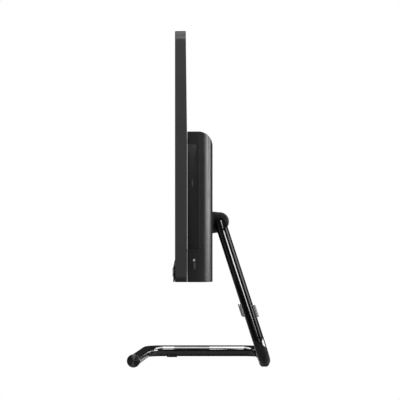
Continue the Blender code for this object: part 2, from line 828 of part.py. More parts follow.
def rear_socket(name, places, outer, inner, depth):
    """A socket on the motherboard that faces +Y; outer and inner are (width, height)."""
    mouth = HOUSING_BACK - HOUSING_WALL - GAP
    low = (min(places) - outer[0] / 2, BOARD_BACK + GAP, SOCKET_Z - outer[1] / 2)
    high = (max(places) + outer[0] / 2, mouth, SOCKET_Z + outer[1] / 2)
    pockets = []
    for x in places:
        pocket_low = (x - inner[0] / 2, mouth - depth, SOCKET_Z - inner[1] / 2)
        pocket_high = (x + inner[0] / 2, mouth + 5 * MM, SOCKET_Z + inner[1] / 2)
        pockets.append((pocket_low, pocket_high))
    socket(name, low, high, pockets, STEEL)


def make_rear_sockets():
    rear_socket("ethernet_port", [ETHERNET_X], (16 * MM, 13 * MM), (11.8 * MM, 8.2 * MM), 14 * MM)
    rear_socket("hdmi_port", [HDMI_X], (16 * MM, 7 * MM), (14 * MM, 4.7 * MM), 10 * MM)
    rear_socket("usb_ports_rear", USB_REAR_X, (14.4 * MM, 7.2 * MM), USB_MOUTH, 12 * MM)
    mouth = HOUSING_BACK - HOUSING_WALL - GAP
    jack = box(
        "dc_jack",
        (DC_JACK_X - 6 * MM, BOARD_BACK + GAP, SOCKET_Z - 6 * MM),
        (DC_JACK_X + 6 * MM, mouth, SOCKET_Z + 6 * MM),
        DARK_SHELL,
    )
    bore = [(DC_JACK_X, mouth, SOCKET_Z)]
    cut(jack, as_cutter(cylinders("dc_bore", bore, 3.7 * MM, 20 * MM, FACING_BACK, DARK_SHELL)))


def side_socket(name, places, outer, inner, depth):
    """A socket in the -X side wall; outer and inner are (width along Z, height along Y)."""
    mouth = -HOUSING_HALF_WIDTH + HOUSING_WALL + GAP
    low = (mouth, SIDE_SOCKET_Y - outer[1] / 2, min(places) - outer[0] / 2)
    high = (mouth + 11.5 * MM, SIDE_SOCKET_Y + outer[1] / 2, max(places) + outer[0] / 2)
    pockets = []
    for z in places:
        pocket_low = (mouth - 5 * MM, SIDE_SOCKET_Y - inner[1] / 2, z - inner[0] / 2)
        pocket_high = (mouth + depth, SIDE_SOCKET_Y + inner[1] / 2, z + inner[0] / 2)
        pockets.append((pocket_low, pocket_high))
    socket(name, low, high, pockets, STEEL)


def make_side_sockets():
    wall = -HOUSING_HALF_WIDTH + HOUSING_WALL + GAP
    board_back = SIDE_SOCKET_Y - 3.6 * MM - GAP
    box(
        "side_io_board",
        (wall + 1 * MM, board_back - 1.6 * MM, 172 * MM),
        (wall + 10 * MM, board_back, 270 * MM),
        GREEN_BOARD,
    )
    side_socket("usb_ports_side", USB_SIDE_Z, (14.4 * MM, 7.2 * MM), USB_MOUTH, 10 * MM)
    side_socket("card_reader", [CARD_SLOT_Z], (28 * MM, 4 * MM), (24.4 * MM, 2.4 * MM), 10.5 * MM)
    middle = (wall + 5.5 * MM, SIDE_SOCKET_Y, sum(AUDIO_Z) / 2)
    height = AUDIO_Z[1] - AUDIO_Z[0] + 7 * MM
    outline = pill((middle[1], middle[2]), 6.8 * MM, height)
    jacks = plate(
        "audio_jacks", [outline], 11 * MM, DARK_SHELL, (middle[0], 0, 0), SIDE_PLANE
    )
    mouths = [(wall + 2 * MM, SIDE_SOCKET_Y, z) for z in AUDIO_Z]
    bores = cylinders("audio_bores", mouths, 1.8 * MM, 14 * MM, FACING_RIGHT, DARK_SHELL, 12)
    cut(jacks, as_cutter(bores))


# ---------------------------------------------------------------- optical drive


def make_drive_case():
    right = HOUSING_HALF_WIDTH - BEZEL_DEPTH - 0.5 * MM
    left = right - DRIVE_DEPTH
    inset = 1.2 * MM
    case = box(
        "optical_drive_case",
        (left, DRIVE_FRONT + 0.1 * MM, DRIVE_BOTTOM + inset),
        (right, DRIVE_BACK - 0.1 * MM, DRIVE_TOP - inset),
        STEEL,
    )
    wall = 0.8 * MM
    hollow = blocks(
        "drive_hollow",
        [
            (
                (left + wall, DRIVE_FRONT + 0.1 * MM + wall, DRIVE_BOTTOM + inset + wall),
                (right + 5 * MM, DRIVE_BACK - 0.1 * MM - wall, DRIVE_TOP - inset - wall),
            )
        ],
        STEEL,
    )
    cut(case, as_cutter(hollow))


def make_tray():
    """The tray slides along +X. The disc lies in a recess in its front face."""
    right = HOUSING_HALF_WIDTH - BEZEL_DEPTH - GAP
    left = right - DRIVE_DEPTH + 2.5 * MM
    inset = 2.4 * MM
    tray = box(
        "disc_tray",
        (left, TRAY_FRONT, DRIVE_BOTTOM + inset),
        (right, TRAY_BACK, DRIVE_TOP - inset),
        DARK_SHELL,
        0.6 * MM,
    )
    centre = (DISC_CENTRE_X, TRAY_FRONT, DISC_CENTRE_Z)
    recess = cylinders("disc_recess", [centre], DISC_RADIUS + 1 * MM, 4 * MM, FACING_BACK, DARK_SHELL, 64)
    cut(tray, as_cutter(recess))
    hub_hole = cylinders("hub_hole", [centre], 12 * MM, 14 * MM, FACING_BACK, DARK_SHELL, 32)
    window = blocks(
        "sled_window",
        [
            (
                (SLED_WINDOW_LEFT, TRAY_FRONT - 5 * MM, DISC_CENTRE_Z - 14 * MM),
                (DISC_CENTRE_X - 4 * MM, TRAY_FRONT + 7 * MM, DISC_CENTRE_Z + 14 * MM),
            )
        ],
        DARK_SHELL,
    )
    join(hub_hole, as_cutter(window))
    cut(tray, as_cutter(hub_hole))


def make_tray_bezel():
    right = HOUSING_HALF_WIDTH
    bezel = box(
        "tray_bezel",
        (right - BEZEL_DEPTH, DRIVE_FRONT, DRIVE_BOTTOM),
        (right, DRIVE_BACK, DRIVE_TOP),
        DARK_SHELL,
        0.4 * MM,
        1,
    )
    width = 2 * MM + 2 * GAP
    height = 10 * MM + 2 * GAP
    openings = [
        (
            (right - 6 * MM, EJECT_Y - width / 2, EJECT_Z - height / 2),
            (right + 6 * MM, EJECT_Y + width / 2, EJECT_Z + height / 2),
        )
    ]
    cut(bezel, as_cutter(blocks("eject_hole", openings, DARK_SHELL)))
    pin_hole = [(right, EJECT_Y, EJECT_Z - 16 * MM)]
    cut(bezel, as_cutter(cylinders("pin_hole", pin_hole, 0.7 * MM, 12 * MM, FACING_RIGHT, DARK_SHELL, 8)))
    box(
        "eject_button",
        (right - 1.7 * MM, EJECT_Y - 1 * MM, EJECT_Z - 5 * MM),
        (right + 0.3 * MM, EJECT_Y + 1 * MM, EJECT_Z + 5 * MM),
        DARK_SHELL,
        0.3 * MM,
        1,
    )


def make_disc_drive_motor():
    profile = [
        (0, 3.4 * MM),
        (6.6 * MM, 3.4 * MM),
        (7.4 * MM, 2.4 * MM),
        (7.4 * MM, 1.2 * MM),
        (10.8 * MM, 1.2 * MM),
        (10.8 * MM, -2.2 * MM),
        (0, -2.2 * MM),
    ]
    place_at = (DISC_CENTRE_X, TRAY_FRONT + 3.8 * MM, DISC_CENTRE_Z)
    turned("disc_spindle", profile, STEEL, place_at, FACING_FRONT, 24)

    rail_y = TRAY_FRONT + 5.8 * MM
    middle_x = (SLED_WINDOW_LEFT + DISC_CENTRE_X - 12 * MM) / 2
    length = DISC_CENTRE_X - 12 * MM - SLED_WINDOW_LEFT - 1 * MM
    for name, side in (("sled_rail_lower", -1), ("sled_rail_upper", 1)):
        centres = [(middle_x, rail_y, DISC_CENTRE_Z + side * 10 * MM)]
        cylinders(name, centres, 1 * MM, length, FACING_RIGHT, STEEL, 10)

    sled_back = rail_y - 1 * MM - GAP
    sled_right = DISC_CENTRE_X - 12.5 * MM
    sled = box(
        "laser_sled",
        (sled_right - 16 * MM, sled_back - 2 * MM, DISC_CENTRE_Z - 12.5 * MM),
        (sled_right, sled_back, DISC_CENTRE_Z + 12.5 * MM),
        DARK_SHELL,
        0.4 * MM,
    )
    lens = cylinders(
        "laser_lens",
        [(sled_right - 7 * MM, sled_back - 2.1 * MM, DISC_CENTRE_Z)],
        3 * MM,
        0.8 * MM,
        FACING_BACK,
        DARK_SHELL,
        16,
    )
    join(sled, as_cutter(lens))


# ---------------------------------------------------------------- power button


def make_power_button():
    right = HOUSING_HALF_WIDTH
    outline = pill((0, 0), BUTTON_WIDTH, BUTTON_HEIGHT)
    length = 5.5 * MM
    place_at = (right + 0.5 * MM - length / 2, BUTTON_Y, BUTTON_Z)
    button = plate("power_button", [outline], length, DARK_SHELL, place_at, SIDE_PLANE)
    round_edges(button, 0.3 * MM, 1, 60)
    lamp_length = 6 * MM
    place_at = [(right + 0.1 * MM - lamp_length / 2, BUTTON_Y, LAMP_Z)]
    cylinders("power_lamp", place_at, LAMP_RADIUS, lamp_length, FACING_RIGHT, LAMP, 16)
    board = box(
        "power_board",
        (203 * MM, BUTTON_Y - 5 * MM, 126 * MM),
        (204.2 * MM, BUTTON_Y + 5 * MM, 150 * MM),
        GREEN_BOARD,
    )
    switch = blocks(
        "tact_switch",
        [
            (
                (204 * MM, BUTTON_Y - 2.5 * MM, BUTTON_Z - 2.5 * MM),
                (205.6 * MM, BUTTON_Y + 2.5 * MM, BUTTON_Z + 2.5 * MM),
            )
        ],
        DARK_SHELL,
    )
    join(board, as_cutter(switch))


# ---------------------------------------------------------------- tilt hinge


def make_hinge_bracket():
    root = HOUSING_BACK + GAP
    axis = (HINGE_Y, HINGE_Z)
    outline = [(root, 203.4 * MM)]
    outline += arc(axis, KNUCKLE_RADIUS, 95, -75, 14)
    outline += [(HINGE_Y - 1 * MM, 175.2 * MM), (root, 173.8 * MM)]
    bore = circle(axis, BORE_RADIUS, 36)
    width = 2 * BRACKET_HALF_WIDTH
    bracket = plate("hinge_bracket", [outline, bore], width, BLACK_SHELL, (0, 0, 0), SIDE_PLANE)
    round_edges(bracket, 0.5 * MM, 1, 60)
    places = [(x, root, z) for x, z in HINGE_SCREWS]
    holes = cylinders("bracket_holes", places, 1.9 * MM, 10 * MM, FACING_BACK, STEEL, 12)
    cut(bracket, as_cutter(holes))

    inner = HOUSING_BACK - HOUSING_WALL - GAP
    backplate = box(
        "hinge_backplate",
        (-45 * MM, inner - 2.2 * MM, 160 * MM),
        (45 * MM, inner, 218 * MM),
        STEEL,
    )
    places = [(x, inner, z) for x, z in HINGE_SCREWS]
    holes = cylinders("backplate_holes", places, 1.9 * MM, 10 * MM, FACING_BACK, STEEL, 12)
    cut(backplate, as_cutter(holes))
    seat = inner - 2.2 * MM - GAP
    shank = (1.6 * MM, 21.5 * MM - seat)
    make_screws("hinge_screw", HINGE_SCREWS, seat, FACING_FRONT, (3.2 * MM, 2.5 * MM), shank)


def make_hinge_bush():
    half = BRACKET_HALF_WIDTH
    inner = TUBE_RADIUS + GAP
    outer = BORE_RADIUS - GAP
    profile = [
        (inner, half + 1.4 * MM),
        (outer + 1.5 * MM, half + 1.4 * MM),
        (outer + 1.5 * MM, half + GAP),
        (outer, half + GAP),
        (outer, -half),
        (inner, -half),
        (inner, half + 1.4 * MM),
    ]
    turned("hinge_bush", profile, DARK_SHELL, (0, HINGE_Y, HINGE_Z), FACING_RIGHT, 36)


def make_hinge_end():
    """The retainer holds the tube's end against the bracket, and the cap covers it."""
    face = -TUBE_END_X + GAP
    stem = TUBE_RADIUS - TUBE_WALL - GAP
    profile = [
        (0, face + 4.5 * MM),
        (3.5 * MM, face + 4.5 * MM),
        (3.5 * MM, face + 2 * MM),
        (9.4 * MM, face + 2 * MM),
        (9.4 * MM, face),
        (stem, face),
        (stem, face - 14 * MM),
        (0, face - 14 * MM),
    ]
    place_at = (0, HINGE_Y, HINGE_Z)
    turned("hinge_retainer", profile, STEEL, place_at, FACING_LEFT, 24)

    rim = BRACKET_HALF_WIDTH + GAP
    end = face + 6.5 * MM
    profile = [
        (0, end),
        (9.5 * MM, end),
        (11.2 * MM, end - 2.2 * MM),
        (11.2 * MM, rim),
        (9.8 * MM, rim),
        (9.8 * MM, end - 1.5 * MM),
        (0, end - 1.5 * MM),
    ]
    turned("hinge_cap", profile, DARK_SHELL, place_at, FACING_LEFT, 32)


# ---------------------------------------------------------------- stand


def stand_corners():
    return [
        Vector((TUBE_END_X, HINGE_Y, HINGE_Z)),
        Vector((LEG_TOP_X, HINGE_Y, HINGE_Z)),
        Vector((BASE_HALF_WIDTH, BASE_BACK, BASE_Z)),
        Vector((-BASE_HALF_WIDTH, BASE_BACK, BASE_Z)),
        Vector((-BASE_HALF_WIDTH, BASE_FRONT, BASE_Z)),
        FOOT_END,
    ]


def make_stand_tube():
    """One tube: hinge end, leg, rear bar, side rail and front bar."""
    path = bent_path(stand_corners(), TUBE_BEND_RADIUS, 6)
    stand = tube("stand_tube", path, TUBE_RADIUS, GLOSS_BLACK, 4, caps=False)
    hollow = stand.modifiers.new("wall", "SOLIDIFY")
    hollow.thickness = TUBE_WALL
    hollow.offset = -1
    hollow.use_rim = True


def make_end_cap():
    corners = stand_corners()
    along = (corners[-1] - corners[-2]).normalized()
    stem = TUBE_RADIUS - TUBE_WALL - GAP
    profile = [
        (0, 3.4 * MM),
        (6.9 * MM, 3.2 * MM),
        (END_CAP_RADIUS, 2.2 * MM),
        (END_CAP_RADIUS, GAP),
        (stem, GAP),
        (stem, -14 * MM),
        (0, -14 * MM),
    ]
    turn = along.to_track_quat("Z", "Y").to_euler()
    turned("tube_end_cap", profile, GLOSS_BLACK, FOOT_END, turn, 32)


def saddle_outline():
    """A pad with a flat sole and a round top that follows the tube."""
    radius = TUBE_RADIUS + GAP
    points = [(-3.6 * MM, -BASE_Z), (3.6 * MM, -BASE_Z), (6.6 * MM, -5.6 * MM)]
    return points + arc((0, 0), radius, -40, -140, 8) + [(-6.6 * MM, -5.6 * MM)]


def make_foot_pads():
    """Equal pads under the bars: the front bar's end rests on its cap."""
    spots = {
        "foot_pad_front": (-BASE_HALF_WIDTH, BASE_FRONT + 34 * MM, 90),
        "foot_pad_rear_left": (-BASE_HALF_WIDTH + 34 * MM, BASE_BACK, 0),
        "foot_pad_rear_right": (BASE_HALF_WIDTH - 45 * MM, BASE_BACK, 0),
    }
    for name, (x, y, heading) in spots.items():
        turn = (math.radians(90), 0, math.radians(heading + 90))
        plate(name, [saddle_outline()], 14 * MM, RUBBER, (x, y, BASE_Z), turn)


def make_cable_clip():
    """A C-shaped clip that grips the leg, with a hook for a cable on its inner side."""
    corners = stand_corners()
    top, bottom = corners[1], corners[2]
    along = (top - bottom).normalized()
    share = (CLIP_Z - bottom.z) / (top.z - bottom.z)
    centre = bottom + (top - bottom) * share
    grip = TUBE_RADIUS + GAP
    outer = grip + 2.6 * MM
    hook_centre = (-outer - 3.6 * MM, -5.3 * MM)
    hook_inner = 5 * MM
    hook_outer = 7 * MM
    outline = arc((0, 0), outer, 58, 302, 20)
    outline += arc((0, 0), grip, 302, 58, 20)
    ring = plate("cable_clip", [outline], CLIP_LENGTH, CLIP_PLASTIC, centre, (0, 0, 0))
    hook = arc(hook_centre, hook_outer, 25, 235, 14) + arc(hook_centre, hook_inner, 235, 25, 14)
    hook_plate = plate("clip_hook", [hook], CLIP_LENGTH, CLIP_PLASTIC, centre, (0, 0, 0))
    turn = clip_turn(along)
    for piece in (ring, hook_plate):
        piece.matrix_world = Matrix.Translation(centre) @ turn
    join(ring, as_cutter(hook_plate))
    round_edges(ring, 0.4 * MM, 1, 60)


def clip_turn(along):
    """Rotation whose local Z follows the leg and whose local X points to the +X side."""
    side = (Vector((1, 0, 0)) - along * along.x).normalized()
    across = along.cross(side)
    turn = Matrix((side, across, along)).transposed()
    return turn.to_4x4()


# ---------------------------------------------------------------- assembly


def main():
    make_panel_shell()
    make_front_bezel()
    make_screen()
    make_speaker_bar()
    make_speaker("speaker_left", -SPEAKER_X)
    make_speaker("speaker_right", SPEAKER_X)
    make_webcam()
    make_rear_housing()
    seat = HOUSING_BACK - HOUSING_SCREW_RECESS + GAP
    shank = (1.5 * MM, 6 * MM)
    make_screws("housing_screw", HOUSING_SCREWS, seat, FACING_BACK, HOUSING_SCREW_HEAD, shank)
    make_chassis_plate()
    make_motherboard()
    make_cards()
    make_cooling()
    make_hard_drive()
    make_rear_sockets()
    make_side_sockets()
    make_drive_case()
    make_tray()
    make_tray_bezel()
    make_disc_drive_motor()
    make_power_button()
    make_hinge_bracket()
    make_hinge_bush()
    make_hinge_end()
    make_stand_tube()
    make_end_cap()
    make_foot_pads()
    make_cable_clip()


main()
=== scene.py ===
"""Looks of the all-in-one computer: fine surfaces, materials, camera and studio light.

Units are metres, in the same frame as the CAD model: +Z up, the screen faces -Y.
"""

import json
import math

import bmesh
import bpy
from mathutils import Matrix, Vector


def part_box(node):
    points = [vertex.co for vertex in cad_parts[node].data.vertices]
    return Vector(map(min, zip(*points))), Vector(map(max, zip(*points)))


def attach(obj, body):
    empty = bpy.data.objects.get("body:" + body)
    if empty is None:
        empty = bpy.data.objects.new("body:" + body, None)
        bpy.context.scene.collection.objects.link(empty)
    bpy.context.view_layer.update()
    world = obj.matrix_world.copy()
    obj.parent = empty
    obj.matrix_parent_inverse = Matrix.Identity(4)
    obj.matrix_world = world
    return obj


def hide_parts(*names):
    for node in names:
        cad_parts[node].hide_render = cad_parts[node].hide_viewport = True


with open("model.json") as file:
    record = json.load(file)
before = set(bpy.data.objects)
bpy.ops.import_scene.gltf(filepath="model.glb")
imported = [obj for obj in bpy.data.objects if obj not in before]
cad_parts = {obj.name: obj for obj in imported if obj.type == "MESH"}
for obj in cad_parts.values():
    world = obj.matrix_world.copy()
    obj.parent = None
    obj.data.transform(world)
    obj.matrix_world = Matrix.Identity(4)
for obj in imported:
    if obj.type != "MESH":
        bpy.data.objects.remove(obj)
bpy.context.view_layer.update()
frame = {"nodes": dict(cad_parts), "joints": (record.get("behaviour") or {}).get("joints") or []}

MM = 0.001
NODES = frame["nodes"]
JOINTS = {joint["name"]: joint for joint in frame["joints"]}

# Sizes that the CAD boxes don't give
TUBE_RADIUS = 7.6 * MM
TUBE_BEND_RADIUS = 24 * MM
LEG_TOP_X = 41 * MM
BASE_FRONT = -70.2 * MM
FOOT_END_XY = (82 * MM, -85 * MM)
CLIP_Z = 74 * MM
CLIP_LENGTH = 17 * MM
SLAB_WALL = 2.2 * MM
HOUSING_WALL = 2.2 * MM
HOUSING_ROUNDING = 18 * MM
CAP_RADIUS = 8.65 * MM
SLAB_CORNER_STEPS = 14

# Places of the sockets, whose openings are cut in the housing
SOCKET_Z = 132 * MM
NETWORK_X = -62 * MM
HDMI_X = -36 * MM
REAR_USB_X = (-12 * MM, 10 * MM)
POWER_X = 40 * MM
SIDE_SOCKET_Y = -3 * MM
SIDE_USB_Z = (182 * MM, 204 * MM)
CARD_Z = 228 * MM
AUDIO_Z = (250 * MM, 262 * MM)

# Width and height of each kind of opening
NETWORK_OPENING = (13.4 * MM, 9.6 * MM)
HDMI_OPENING = (15.6 * MM, 6.2 * MM)
USB_OPENING = (14.2 * MM, 6.8 * MM)
CARD_OPENING = (26 * MM, 3.6 * MM)
THROUGH_BACK = 8 * MM  # how far a cutter reaches on both sides of the back wall
THROUGH_SIDE = 6 * MM  # the same for the top, the bottom and the side walls

# Places on the front
GRILLE_X = 165 * MM
GRILLE_Z = 123.2 * MM
GRILLE_PITCH_X = 2.8 * MM
GRILLE_PITCH_Z = 2.6 * MM

NOISE_RANGE = (0.3, 0.7)  # where most of a noise texture's values lie

CAMERA_PLACE = (2.8, -0.0140, 0.2127)
CAMERA_LENS = 187.7
CAMERA_SHIFT = (0.0300, 0.0108)

FACING_BACK = (math.radians(-90), 0, 0)  # turns local +Z to +Y
FACING_FRONT = (math.radians(90), 0, 0)  # turns local +Z to -Y
FACING_RIGHT = (0, math.radians(90), 0)  # turns local +Z to +X
FACING_LEFT = (0, math.radians(-90), 0)  # turns local +Z to -X


# ---------------------------------------------------------------- material helpers


class Surface:
    """A Principled material and short ways to add procedural detail to it."""

    def __init__(self, name, colour, roughness, metallic=0.0):
        self.material = bpy.data.materials.new(name)
        self.material.use_nodes = True
        self.tree = self.material.node_tree
        self.shader = self.tree.nodes["Principled BSDF"]
        self.place = self.tree.nodes.new("ShaderNodeTexCoord")
        self.heights = []
        self.set("Base Color", (*colour, 1.0))
        self.set("Roughness", roughness)
        self.set("Metallic", metallic)
        self.colour = colour
        self.roughness = roughness

    def set(self, socket, value):
        self.shader.inputs[socket].default_value = value

    def link(self, output, socket):
        self.tree.links.new(output, socket)

    def coordinates(self, stretch=(1, 1, 1)):
        mapping = self.tree.nodes.new("ShaderNodeMapping")
        mapping.inputs["Scale"].default_value = stretch
        self.link(self.place.outputs["Object"], mapping.inputs["Vector"])
        return mapping.outputs["Vector"]

    def noise(self, scale, detail, stretch=(1, 1, 1)):
        node = self.tree.nodes.new("ShaderNodeTexNoise")
        node.inputs["Scale"].default_value = scale
        node.inputs["Detail"].default_value = detail
        self.link(self.coordinates(stretch), node.inputs["Vector"])
        return node.outputs["Fac"]

    def vary_colour(self, value, spread):
        """Takes the base colour a little darker and lighter over the surface."""
        ramp = self.tree.nodes.new("ShaderNodeValToRGB")
        low, high = ramp.color_ramp.elements
        low.position, high.position = NOISE_RANGE
        low.color = (*[c * (1 - spread) for c in self.colour], 1.0)
        high.color = (*[c * (1 + spread) for c in self.colour], 1.0)
        self.link(value, ramp.inputs["Fac"])
        self.link(ramp.outputs["Color"], self.shader.inputs["Base Color"])

    def vary_roughness(self, value, spread):
        """Takes the roughness down and up over the surface."""
        node = self.tree.nodes.new("ShaderNodeMapRange")
        node.inputs["From Min"].default_value = NOISE_RANGE[0]
        node.inputs["From Max"].default_value = NOISE_RANGE[1]
        node.inputs["To Min"].default_value = max(self.roughness - spread, 0.01)
        node.inputs["To Max"].default_value = self.roughness + spread
        self.link(value, node.inputs["Value"])
        self.link(node.outputs["Result"], self.shader.inputs["Roughness"])

    def bump(self, value, strength, distance):
        """Adds relief on top of any added before."""
        node = self.tree.nodes.new("ShaderNodeBump")
        node.inputs["Strength"].default_value = strength
        node.inputs["Distance"].default_value = distance
        self.link(value, node.inputs["Height"])
        if self.heights:
            self.link(self.heights[-1].outputs["Normal"], node.inputs["Normal"])
        self.heights.append(node)
        self.link(node.outputs["Normal"], self.shader.inputs["Normal"])


def moulded_plastic(name, colour, roughness, grain=0.35, specular=0.5):
    """Injection-moulded plastic with a fine spark-eroded grain and faint flow marks."""
    surface = Surface(name, colour, roughness)
    surface.set("Specular IOR Level", specular)
    surface.vary_colour(surface.noise(14, 4), 0.06)
    surface.vary_roughness(surface.noise(55, 3), 0.03)
    surface.bump(surface.noise(2600, 2), grain, 0.00004)
    surface.bump(surface.noise(9, 2), 0.015, 0.0004)
    return surface.material


def enamel(name, colour):
    """High-gloss enamel over steel: a clear coat with faint orange peel and dust."""
    surface = Surface(name, colour, 0.16)
    surface.set("Specular IOR Level", 0.15)
    surface.set("Coat Weight", 1.0)
    surface.set("Coat Roughness", 0.03)
    surface.set("Coat IOR", 1.55)
    surface.vary_colour(surface.noise(30, 3), 0.25)
    surface.vary_roughness(surface.noise(90, 4), 0.05)
    surface.bump(surface.noise(18, 1), 0.02, 0.0001)
    return surface.material


def gloss_plastic(name, colour):
    surface = Surface(name, colour, 0.12)
    surface.set("Coat Weight", 0.6)
    surface.set("Coat Roughness", 0.05)
    surface.vary_colour(surface.noise(22, 3), 0.2)
    surface.vary_roughness(surface.noise(140, 4), 0.04)
    surface.bump(surface.noise(120, 2), 0.05, 0.0001)
    return surface.material


def spun_gloss(name, colour):
    """Moulded end cap with a concentric turned finish, which draws a highlight out towards its rim."""
    surface = Surface(name, colour, 0.42)
    surface.set("Anisotropic", 0.95)
    surface.set("Anisotropic Rotation", 0.25)
    surface.set("Specular IOR Level", 0.8)
    tangent = surface.tree.nodes.new("ShaderNodeTangent")
    tangent.direction_type = "RADIAL"
    tangent.axis = "Z"
    surface.link(tangent.outputs["Tangent"], surface.shader.inputs["Tangent"])
    surface.vary_colour(surface.noise(60, 3), 0.2)
    surface.vary_roughness(surface.noise(80, 3), 0.04)
    surface.bump(surface.noise(300, 2), 0.05, 0.00003)
    return surface.material


def rubber(name, colour):
    surface = Surface(name, colour, 0.82)
    surface.set("Specular IOR Level", 0.3)
    surface.vary_colour(surface.noise(120, 5), 0.3)
    surface.bump(surface.noise(1500, 3), 0.6, 0.0001)
    return surface.material


def metal(name, colour, roughness, stretch=(1, 1, 12)):
    """Plated or rolled metal with brush marks and a patchy sheen."""
    surface = Surface(name, colour, roughness, 1.0)
    surface.vary_colour(surface.noise(40, 4), 0.12)
    marks = surface.noise(900, 2, stretch)
    surface.vary_roughness(marks, 0.10)
    surface.bump(marks, 0.12, 0.00005)
    return surface.material


def circuit_board(name, colour):
    """Solder mask over copper traces, with lighter pads."""
    surface = Surface(name, colour, 0.42)
    bricks = surface.tree.nodes.new("ShaderNodeTexBrick")
    bricks.inputs["Scale"].default_value = 160
    bricks.inputs["Mortar Size"].default_value = 0.035
    bricks.inputs["Color1"].default_value = (*colour, 1.0)
    bricks.inputs["Color2"].default_value = (*[c * 0.7 for c in colour], 1.0)
    bricks.inputs["Mortar"].default_value = (0.02, 0.16, 0.06, 1.0)
    surface.link(surface.coordinates(), bricks.inputs["Vector"])
    surface.link(bricks.outputs["Color"], surface.shader.inputs["Base Color"])
    surface.vary_roughness(surface.noise(200, 3), 0.08)
    surface.bump(bricks.outputs["Fac"], 0.2, 0.0001)
    return surface.material


def screen_glass(name):
    """Switched-off display: near black, with an anti-glare haze and a faint pixel grain."""
    surface = Surface(name, (0.010, 0.011, 0.014), 0.22)
    surface.set("Specular IOR Level", 0.45)
    surface.vary_colour(surface.noise(5, 3), 0.12)
    surface.vary_roughness(surface.noise(18, 4), 0.03)
    surface.bump(surface.noise(3800, 1), 0.12, 0.00002)
    return surface.material


def clear_plastic(name, colour):
    """Translucent grey plastic of the cable clip."""
    surface = Surface(name, colour, 0.3)
    surface.set("Transmission Weight", 0.35)
    surface.set("IOR", 1.5)
    surface.vary_colour(surface.noise(60, 3), 0.08)
    surface.vary_roughness(surface.noise(220, 3), 0.06)
    surface.bump(surface.noise(700, 2), 0.15, 0.00005)
    return surface.material


def lamp_lens(name, colour):
    surface = Surface(name, colour, 0.18)
    # The faint glow lights the power lamp, and on the drive's eject key it is a painted highlight.
    surface.set("Emission Color", (0.92, 0.96, 1.0, 1.0))
    surface.set("Emission Strength", 0.12)
    surface.vary_colour(surface.noise(900, 2), 0.08)
    surface.vary_roughness(surface.noise(1200, 2), 0.05)
    return surface.material


PANEL_BLACK = moulded_plastic("panel_black", (0.030, 0.030, 0.031), 0.44)
HOUSING_BLACK = moulded_plastic("housing_black", (0.013, 0.013, 0.014), 0.34)
BRACKET_BLACK = moulded_plastic("bracket_black", (0.028, 0.028, 0.030), 0.55, grain=0.5)
BEZEL_BLACK = moulded_plastic("bezel_black", (0.012, 0.012, 0.013), 0.36)
DRIVE_BLACK = moulded_plastic("drive_black", (0.010, 0.010, 0.011), 0.40)
BUTTON_BLACK = moulded_plastic("button_black", (0.050, 0.050, 0.052), 0.36)
INNER_BLACK = moulded_plastic("inner_black", (0.016, 0.016, 0.017), 0.50)
BAR_GLOSS = gloss_plastic("speaker_bar_gloss", (0.006, 0.006, 0.007))
TUBE_ENAMEL = enamel("tube_enamel", (0.004, 0.004, 0.005))
CAP_GLOSS = spun_gloss("cap_gloss", (0.006, 0.006, 0.007))
PAD_RUBBER = rubber("pad_rubber", (0.020, 0.020, 0.020))
SCREEN = screen_glass("screen")
PANEL_GREY = metal("panel_tray", (0.45, 0.45, 0.46), 0.45)
STEEL = metal("plated_steel", (0.45, 0.46, 0.47), 0.34)
ALUMINIUM = metal("aluminium", (0.62, 0.63, 0.64), 0.32)
COPPER = metal("copper", (0.72, 0.36, 0.20), 0.28)
BOARD = circuit_board("solder_mask", (0.010, 0.075, 0.030))
LAMP_AND_GLINT_LENS = lamp_lens("lamp_lens", (0.30, 0.31, 0.32))
CLIP_GREY = clear_plastic("clip_grey", (0.42, 0.43, 0.44))
GOLD = metal("contacts", (0.80, 0.58, 0.22), 0.30)


# ---------------------------------------------------------------- shape helpers


def add_piece(name, mesh, material, body, replaced=(), location=(0, 0, 0), turn=(0, 0, 0)):
    """Adds a piece, makes it ride on its body and hides the CAD parts it replaces."""
    obj = bpy.data.objects.new(name, mesh)
    obj.location = location
    obj.rotation_euler = turn
    mesh.materials.clear()
    mesh.materials.append(material)
    bpy.context.scene.collection.objects.link(obj)
    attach(obj, body)
    if replaced:
        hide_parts(*replaced)
    return obj


def mesh_of(shape, name, angle=30):
    """Ends a bmesh: welds it, turns its faces outwards and shades its round stretches smooth."""
    bmesh.ops.remove_doubles(shape, verts=shape.verts, dist=0.002 * MM)
    bmesh.ops.recalc_face_normals(shape, faces=shape.faces)
    mesh = bpy.data.meshes.new(name)
    shape.to_mesh(mesh)
    shape.free()
    return shade(mesh, angle)


def evaluated(obj):
    """The object's mesh with its modifiers applied. The object itself is left for the caller to remove."""
    graph = bpy.context.evaluated_depsgraph_get()
    graph.update()
    return bpy.data.meshes.new_from_object(obj.evaluated_get(graph))


def centre_of(node):
    """The middle of a CAD node's box."""
    low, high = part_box(node)
    return (low + high) / 2


def rectangle(low, high):
    """Outline in (Y, Z) of a box given by its lowest and highest corner."""
    return [(low.y, low.z), (high.y, low.z), (high.y, high.z), (low.y, high.z)]


def baked(mesh, tools, bevel=0.0, segments=3, angle=40):
    """The mesh after rounding its sharp edges and then cutting it with each tool mesh."""
    obj = bpy.data.objects.new("work", mesh)
    bpy.context.scene.collection.objects.link(obj)
    cutters = []
    if bevel:
        modifier = obj.modifiers.new("round", "BEVEL")
        modifier.width = bevel
        modifier.segments = segments
        modifier.limit_method = "ANGLE"
        modifier.angle_limit = math.radians(angle)
    for tool, operation in tools:
        cutter = bpy.data.objects.new("tool", tool)
        bpy.context.scene.collection.objects.link(cutter)
        modifier = obj.modifiers.new("cut", "BOOLEAN")
        modifier.operation = operation
        modifier.solver = "EXACT"
        modifier.object = cutter
        cutters.append(cutter)
    result = evaluated(obj)
    for spent in [obj] + cutters:
        bpy.data.objects.remove(spent)
    return result


